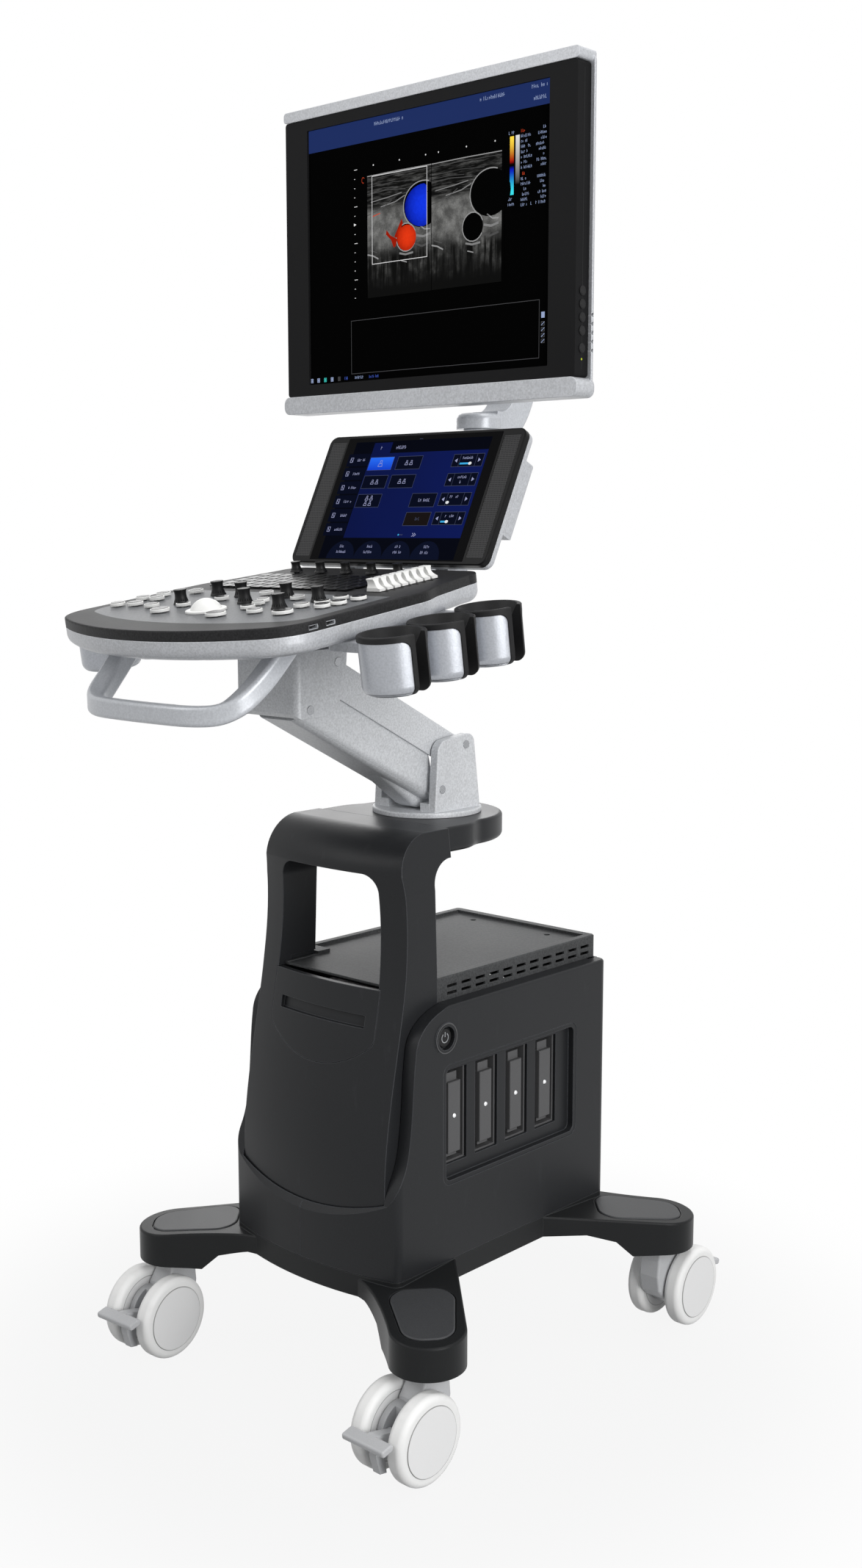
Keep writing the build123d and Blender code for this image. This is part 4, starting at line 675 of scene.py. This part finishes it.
def navyPaint(spec):
    paint = picturePaint("panel_navy", 0.2)
    fade = (paint.axes()[0] + 0.08) / 0.19
    drift = paint.noise(14.0, 2.0) * 0.3
    deep, light = (tone(*colour) for colour in spec["navy"])
    paint.give(Emission_Color=paint.mix(deep, light, (fade * 0.55 + drift).atMost(1.0)))
    return paint


def tinyFigures(draw, paint, x, y, count, level):  # one, two or four of them
    for i in range(count):
        cx = x + (i % 2 - 0.5) * 7.4 if count > 1 else x
        cy = y + (0.5 - i // 2) * 7.0 if count > 2 else y
        size = 3.4 if count == 1 else 2.4
        for line in figureLines:
            draw.ribbon(paint, [(cx + size * a, cy + size * b) for a, b in line], 0.6, level)


def stepper(draw, ink, size, x, y, share, seed, level):  # label with arrows and, where share is given, a slider
    wide, tall = size
    edge, text = ink["edge"], ink["text"]
    draw.bar(ink["tile"], x, x + wide, y - tall, y, level)
    draw.outline(edge, x, x + wide, y - tall, y, 0.45, level + 1)
    draw.bar(edge, x + 10.6, x + 11.0, y - tall, y, level + 1)
    draw.bar(edge, x + 35.4, x + 35.8, y - tall, y, level + 1)
    draw.shape(text, [(x + 3.6, y - 8.2), (x + 7.4, y - 10.8), (x + 7.4, y - 5.6)], level + 2)
    draw.shape(text, [(x + 42.8, y - 8.2), (x + 39.0, y - 5.6), (x + 39.0, y - 10.8)], level + 2)
    draw.words(text, x + 15, y - 6.8, 17, 3.6, level + 2, seed)
    if share is None:
        draw.words(text, x + 22, y - 13.0, 3, 3.6, level + 2, seed + 1)
        return
    draw.bar(ink["cyan"], x + 12.4, x + 12.4 + 18 * share, y - 13.4, y - 11.2, level + 2)
    draw.oval(ink["white"], x + 12.6 + 18 * share, y - 12.3, 2.5, 1.9, level + 3)


def drawTouchScreen(spec):
    draw = Drawing("touch_picture", touchPlace)
    navy = navyPaint(spec)
    ink = {name: glow("panel_" + name, *look) for name, look in spec["inks"].items()}
    tile, edge, text = ink["tile"], ink["edge"], ink["text"]
    start, end, low, high = spec["bright"]
    bright = fadePaint("panel_bright", start, end, low, high, 0.2)
    levels = [spec["face"] + i for i in range(5)]
    draw.bar(ink["dark"], *spec["screen"], levels[0])
    draw.bar(navy, *spec["field"], levels[1])
    draw.bar(navy, *spec["tab"], levels[1])
    menu = spec["menu"]
    for row in range(menu["rows"]):
        y = menu["top"] - row * menu["pitch"]
        draw.bar(tile, *menu["across"], y - menu["half"], y + menu["half"], levels[1])
        draw.outline(text, *menu["icon"], y - 3.0, y + 3.4, 0.6, levels[3])
        draw.ribbon(text, [(-108.6, y + 2.0), (-105.4, y - 2.0)], 0.6, levels[3])
        draw.words(text, -97.0, y - 1.8, 13.5, 3.6, levels[3], 10 + row)
    for name, x, y, wide, high, rise, seed in spec["labels"]:
        draw.words(ink[name], x, y, wide, high, levels[rise], seed)
    wide, tall = spec["buttonSize"]
    for i, (x, y) in enumerate(spec["buttons"]):
        draw.bar(tile if i else bright, x, x + wide, y - tall, y, levels[2])
        draw.outline(edge, x, x + wide, y - tall, y, spec["line"], levels[3])
        tinyFigures(draw, text, x + wide / 2, y - 9.0, spec["figures"][i], levels[4])
    for name, *box in spec["boxes"]:
        draw.bar(ink[name], *box, levels[2])
        draw.outline(edge, *box, spec["line"], levels[3])
    for i, (x, y, share) in enumerate(spec["steppers"]):
        stepper(draw, ink, spec["stepperSize"], x, y, share, 40 + 3 * i, levels[2])
    middle = spec["dotHeight"]
    for name, x, radius in spec["dots"]:
        draw.oval(ink[name], x, middle, radius, radius, levels[3])
    for x in spec["arrows"]:
        draw.ribbon(text, [(x, middle + 2.2), (x + 2.8, middle), (x, middle - 2.2)], 0.8, levels[3])
    dials = spec["dials"]
    for i in range(dials["count"]):
        x = dials["left"] + i * dials["pitch"]
        draw.oval(ink["disc"], x, dials["low"], 22.6, 23.0, levels[2], 0, 180)
        draw.words(text, x - 5.0, -64.6, 10.0, 3.6, levels[4], 60 + i)
        draw.words(text, x - 8.0, -71.8, 16.0, 3.6, levels[4], 70 + i)
    draw.bar(edge, -5.0, 0.4, 75.8, 76.3, levels[2])
    draw.finish("touch_panel", "screen")


drawTouchScreen(touchScreen)

# the panel's lean is 1000 times how far it goes back and up
speakers = {"centre": 138.0, "half": (12.1, 75.9), "pitch": 2.3, "height": -0.28, "lean": (438, 899),
            "hole": (10, 10, 11), "mesh": (66, 66, 67)}


def speakerPaint(spec):  # staggered rows of small dark holes in a grey mesh
    paint = Paint("speaker_mesh", Specular_IOR_Level=0.15, Roughness=0.55)
    x, y, z = paint.axes()
    back, rise = spec["lean"]
    across = x * 1000 / spec["pitch"]
    up = (z * rise + y * back) / spec["pitch"]  # along the sloping panel
    shifted = across + up.floor() % 2.0 * 0.5
    dx = shifted.fraction() - 0.5
    dy = up.fraction() - 0.5
    reach = (dx * dx + dy * dy) ** 0.5
    paint.give(Base_Color=paint.mix(tone(*spec["hole"]), tone(*spec["mesh"]), reach.rise(0.24, 0.40)))
    return paint


def makeSpeakers(spec):
    draw = Drawing("speaker_grilles", touchPlace)
    paint = speakerPaint(spec)
    wide, tall = spec["half"]
    for middle in (-spec["centre"], spec["centre"]):
        draw.bar(paint, middle - wide, middle + wide, -tall, tall, spec["height"] / draw.lift)
    draw.finish("touch_panel", "gloss_black")


makeSpeakers(speakers)
print("screens drawn")

# the deck's oval keys: across, up the slope, radius
deckKeys = {
    "keys": [
        (-151, -31, 8.5), (-130, -23, 9.0), (-155, 8, 8.5), (-133, 10, 8.5), (-151, 34, 8.5), (-122, 58, 8.5),
        (-95, -28, 8.5), (-56, -16, 8.0), (-54, -50, 10.5), (-40, 25, 8.0), (-8, 62, 8.0), (28, 24, 7.0),
        (38, 8, 7.0), (46, -14, 8.0), (42, -55, 11.0), (75, -31, 8.5), (60, 44, 8.0), (116, -30, 11.0),
        (106, 6, 8.5), (117, 25, 8.5), (134, 8, 8.5), (139, 27, 8.5), (117, 52, 8.5), (141, 54, 8.5),
    ],
    "top": 4.6, "inset": 1.1, "thick": 0.35, "legend": (7.2, 2.4),
    # print colour of the legends, and a painted glow that makes them brighter
    "ink": (190, 190, 190), "paintedGlow": ((150, 150, 150), 0.25),
}


def plate(mesh, place, points, low, high):  # a thin solid plate between two heights
    lower = [mesh.verts.new(place @ Vector((x, y, low))) for x, y in points]
    upper = [mesh.verts.new(place @ Vector((x, y, high))) for x, y in points]
    mesh.faces.new(list(reversed(lower)))
    mesh.faces.new(upper)
    for i in range(len(points)):
        j = (i + 1) % len(points)
        mesh.faces.new((lower[i], lower[j], upper[j], upper[i]))


def ring(x, y, radius, steps=32):
    return arc(x, y, radius, radius, steps=steps)[:-1]


def solid(name, mesh, paint, body):
    bmesh.ops.recalc_face_normals(mesh, faces=mesh.faces)
    return placed(name, mesh, [paint], body)


def makeKeyTops(spec):
    mesh = bmesh.new()
    legends = Drawing("key_legends", deckPlace)
    # the printed legends also get a painted glow
    ink = glow("legend_ink_painted_glow", *spec["paintedGlow"])
    ink.give(Base_Color=tone(*spec["ink"]))
    wide, tall = spec["legend"]
    top = spec["top"] + spec["thick"]
    for number, (x, s, radius) in enumerate(spec["keys"]):
        plate(mesh, deckPlace, ring(x, s, radius - spec["inset"]), spec["top"], top)
        legends.words(ink, x - wide / 2, s - tall / 2, wide, tall, top / legends.lift + 2, 100 + number)
    solid("key_tops", mesh, paints["gloss_black"], "panel_keys")
    legends.finish("panel_keys", "white")


makeKeyTops(deckKeys)

keyboard = {"rows": 5, "columns": 13, "pitch": 17.4, "left": -136, "low": 104, "lean": 1.5, "top": 2.2,
            # print colour of the legends, and a painted glow that makes them brighter
            "ink": (150, 150, 150), "paintedGlow": ((120, 120, 120), 0.1), "letter": 2.4, "dot": 0.6, "dotShare": 0.5}


def makeKeyboardLegends(spec):
    legends = Drawing("keyboard_legends", deckPlace)
    # the printed legends also get a painted glow
    ink = glow("keyboard_ink_painted_glow", *spec["paintedGlow"])
    ink.give(Base_Color=tone(*spec["ink"]))
    chance = random.Random(7)
    level = spec["top"] / legends.lift + 3
    size, dot = spec["letter"], spec["dot"]
    for row in range(spec["rows"]):
        for column in range(spec["columns"]):
            x = spec["left"] + column * spec["pitch"] + row * spec["lean"]
            s = spec["low"] + row * spec["pitch"]
            legends.words(ink, x - 3.0, s + 1.0, size, size, level, 200 + row * 20 + column)
            if chance.random() < spec["dotShare"]:
                legends.oval(ink, x + 3.4, s - 2.6, dot, dot, level, steps=8)
    legends.finish("keyboard", "white")


makeKeyboardLegends(keyboard)

# light metal frames in the two data sockets of the console's rim
dataSockets = {"spots": (-59.0, -35.4), "width": 13.4, "low": -8.9, "high": -3.9, "face": 182.1, "back": 174.0,
               "gap": 0.1, "wall": 0.7, "tongueInset": 2.0, "tongue": (2.4, 1.4)}


def makeDataSockets(spec):
    mesh = bmesh.new()
    tongue = bmesh.new()
    back, face, wall, inset = spec["back"], spec["face"], spec["wall"], spec["tongueInset"]
    low, high = spec["low"] + spec["gap"], spec["high"] - spec["gap"]

    def box(target, xEnd, sStart, sEnd, bottom, top):
        plate(target, deckPlace, [(back, sStart), (xEnd, sStart), (xEnd, sEnd), (back, sEnd)], bottom, top)

    for spot in spec["spots"]:
        start, end = spot + spec["gap"], spot + spec["width"] - spec["gap"]
        box(mesh, face, start, end, low, low + wall)
        box(mesh, face, start, end, high - wall, high)
        box(mesh, face, start, start + wall, low, high)
        box(mesh, face, end - wall, end, low, high)
        box(tongue, face - inset, start + inset, end - inset, *(high - depth for depth in spec["tongue"]))
    solid("socket_frames", mesh, paints["bright_silver"], "console")
    solid("socket_tongues", tongue, paints["soft_black"], "console")


makeDataSockets(dataSockets)

# bright screw heads in the middle of the probe ports
portScrews = {"slots": ((-101.0, -60.0), (-45.0, -5.0), (10.0, 51.0), (66.0, 106.0)), "height": 334.0,
              "face": 125.2, "radius": 3.3, "out": 2.6}


def dome(mesh, centre, radius, out, rings=5, steps=20):  # low dome that faces +X
    x, y, z = centre
    rows = []
    for i in range(rings):
        angle = math.pi / 2 * i / rings
        circle = ring(y, z, radius * math.cos(angle), steps)
        rows.append([mesh.verts.new((x + out * math.sin(angle), *point)) for point in circle])
    for a, b in zip(rows, rows[1:]):
        for k in range(steps):
            n = (k + 1) % steps
            mesh.faces.new((a[k], a[n], b[n], b[k]))
    mesh.faces.new(rows[-1])


def makePortScrews(spec):
    mesh = bmesh.new()
    for y0, y1 in spec["slots"]:
        y = (y0 + y1) / 2000 + displayFrontY
        dome(mesh, (spec["face"] / 1000, y, spec["height"] / 1000), spec["radius"] / 1000, spec["out"] / 1000)
    piece = solid("port_screws", mesh, paints["chrome"], "cart")
    for polygon in piece.data.polygons:
        polygon.use_smooth = True


makePortScrews(portScrews)

# round buttons on the display's right side
sideButtons = {"y": 12.0, "heights": (1198.0, 1216.5, 1230.5, 1244.5, 1258.5), "face": 226.0,
               "steps": ((5.2, -1.0, 0.9), (4.0, 0.0, 1.2))}  # radius, then from and to, out of the face


def makeSideButtons(spec):
    mesh = bmesh.new()
    for z in spec["heights"]:
        for radius, low, high in spec["steps"]:
            plate(mesh, sidePlace, ring(spec["y"], z, radius), spec["face"] + low, spec["face"] + high)
    return solid("side_buttons", mesh, paints["soft_black"], "display_buttons")


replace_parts(makeSideButtons(sideButtons), "display_buttons")

# seam down the display's right side, and its status light
sideSeam = {"y": 12.0, "half": 0.35, "low": 1176.0, "high": 1488.0, "face": 226.08}


def makeSideSeam(spec):
    draw = Drawing("side_seam", sidePlace)
    y, half = spec["y"], spec["half"]
    draw.bar(paints["leg_black"], y - half, y + half, spec["low"], spec["high"], spec["face"] / draw.lift)
    draw.finish("display", "gloss_black")


makeSideSeam(sideSeam)

statusLight = {"y": 11.9, "z": 1186.4, "radius": 1.2, "face": 226.15, "colour": (190, 205, 60)}


def makeStatusLight(spec):
    draw = Drawing("status_light", sidePlace)
    green = glow("status_green", spec["colour"])
    draw.oval(green, spec["y"], spec["z"], spec["radius"], spec["radius"], spec["face"] / draw.lift)
    draw.finish("display", "screen")


makeStatusLight(statusLight)

# ring round the power button, painted as a lighter highlight along the edge of its boss, and the button's mark
powerMark = {"y": -106.0, "z": 434.0, "ring": 17.2, "ringFace": 137.55, "mark": 5.4, "markFace": 134.56, "gap": 34,
             "line": 1.1, "barTop": 7.0}


def makePowerMark(spec):
    y, z, line, radius = spec["y"], spec["z"], spec["line"], spec["ring"]
    # painted highlight along the edge of the ring's boss
    ringHighlight = Drawing("power_ring_highlight", sidePlace)
    circle = arc(y, z, radius, radius, steps=36)
    ringHighlight.ribbon(paints["port_grey"], circle, line, spec["ringFace"] / ringHighlight.lift)
    ringHighlight.finish("cart", "graphite")
    mark = Drawing("power_mark", sidePlace)
    level = spec["markFace"] / mark.lift
    radius = spec["mark"]
    openRing = arc(y, z, radius, radius, 90 + spec["gap"], 450 - spec["gap"], 36)
    mark.ribbon(paints["steel"], openRing, line, level)
    mark.bar(paints["steel"], y - line / 2, y + line / 2, z + 1.0, z + spec["barTop"], level + 2)
    mark.finish("power_button", "steel")


makePowerMark(powerMark)
print("small pieces made")

studio = {
    "floor": (120, 121, 122), "floorRadius": 9.0, "world": 0.40,
    "shadowLevel": 0.90, "shadowEnds": (0.35, 0.80),  # share of white under the machine, and where it grows to 1
    "lamps": {  # place, aim, size, power
        "key_light": ((-1.6, -2.6, 2.6), (0, 0, 0.8), (1.6, 2.0), 26.0),
        "fill_light": ((3.0, -0.6, 1.4), (0, 0, 0.7), (1.6, 2.2), 66.0),
        "top_light": ((0.2, 0.2, 3.4), (0, 0, 0.8), (1.8, 1.8), 34.0),
        "rim_light": ((-2.7, 2.4, 1.5), (0, 0, 0.6), (1.8, 1.4), 18.0),
    },
}
whiteColour = (1, 1, 1, 1)


def makeFloor(spec):  # plain white to the camera, grey to the light that it throws back
    mesh = bmesh.new()
    bmesh.ops.create_circle(mesh, cap_ends=True, radius=spec["floorRadius"], segments=96)
    data = bpy.data.meshes.new("floor")
    mesh.to_mesh(data)
    mesh.free()
    floor = bpy.data.objects.new("floor", data)
    bpy.context.scene.collection.objects.link(floor)
    paint = Paint("floor_paper", Base_Color=tone(*spec["floor"]), Roughness=0.9)
    base = spec["shadowLevel"]
    part = paint.seenDirectly() * (base + paint.length(paint.place).rise(*spec["shadowEnds"]) * (1 - base))
    white = paint.add("ShaderNodeEmission", {}, {"Color": whiteColour, "Strength": 1.0})
    paper = Flow(paint, paint.shader.outputs["BSDF"])
    both = paint.add("ShaderNodeMixShader", {}, {0: part, 1: paper, 2: white})
    paint.feed(paint.tree.nodes["Material Output"].inputs["Surface"], both)
    data.materials.append(paint.material)


def makeWorld(spec):  # soft light for the surfaces, plain white for the camera
    world = bpy.data.worlds.new("studio")
    world.use_nodes = True
    bpy.context.scene.world = world
    sky = Recipe(world.node_tree)
    soft = sky.add("ShaderNodeBackground", {}, {"Color": whiteColour, "Strength": spec["world"]})
    plain = sky.add("ShaderNodeBackground", {}, {"Color": whiteColour, "Strength": 1.0})
    both = sky.add("ShaderNodeMixShader", {}, {0: sky.seenDirectly(), 1: soft, 2: plain})
    sky.feed(sky.tree.nodes["World Output"].inputs["Surface"], both)


def softbox(name, where, aim, size, power):
    data = bpy.data.lights.new(name, "AREA")
    data.shape = "RECTANGLE"
    data.size, data.size_y = size
    data.energy = power
    lamp = bpy.data.objects.new(name, data)
    lamp.location = where
    lamp.rotation_euler = (Vector(aim) - Vector(where)).to_track_quat("-Z", "Y").to_euler()
    bpy.context.scene.collection.objects.link(lamp)


makeFloor(studio)
makeWorld(studio)
for name, lamp in studio["lamps"].items():
    softbox(name, *lamp)

# where the camera stands, how far it looks down and turns left in degrees, and its lens
view = {"place": (1.394, -1.507 + displayFrontY, 1.003), "down": 8.4, "turn": 42.44, "lens": 39.457}


def makeCamera(spec):
    data = bpy.data.cameras.new("camera")
    data.lens = spec["lens"]
    data.sensor_width = 36.0
    camera = bpy.data.objects.new("camera", data)
    down = math.radians(spec["down"])
    turn = math.radians(spec["turn"])
    ahead = Vector((-math.sin(turn) * math.cos(down), math.cos(turn) * math.cos(down), -math.sin(down)))
    camera.location = spec["place"]
    camera.rotation_euler = ahead.to_track_quat("-Z", "Y").to_euler()
    bpy.context.scene.collection.objects.link(camera)
    bpy.context.scene.camera = camera


makeCamera(view)
bpy.context.scene.view_settings.view_transform = "Standard"
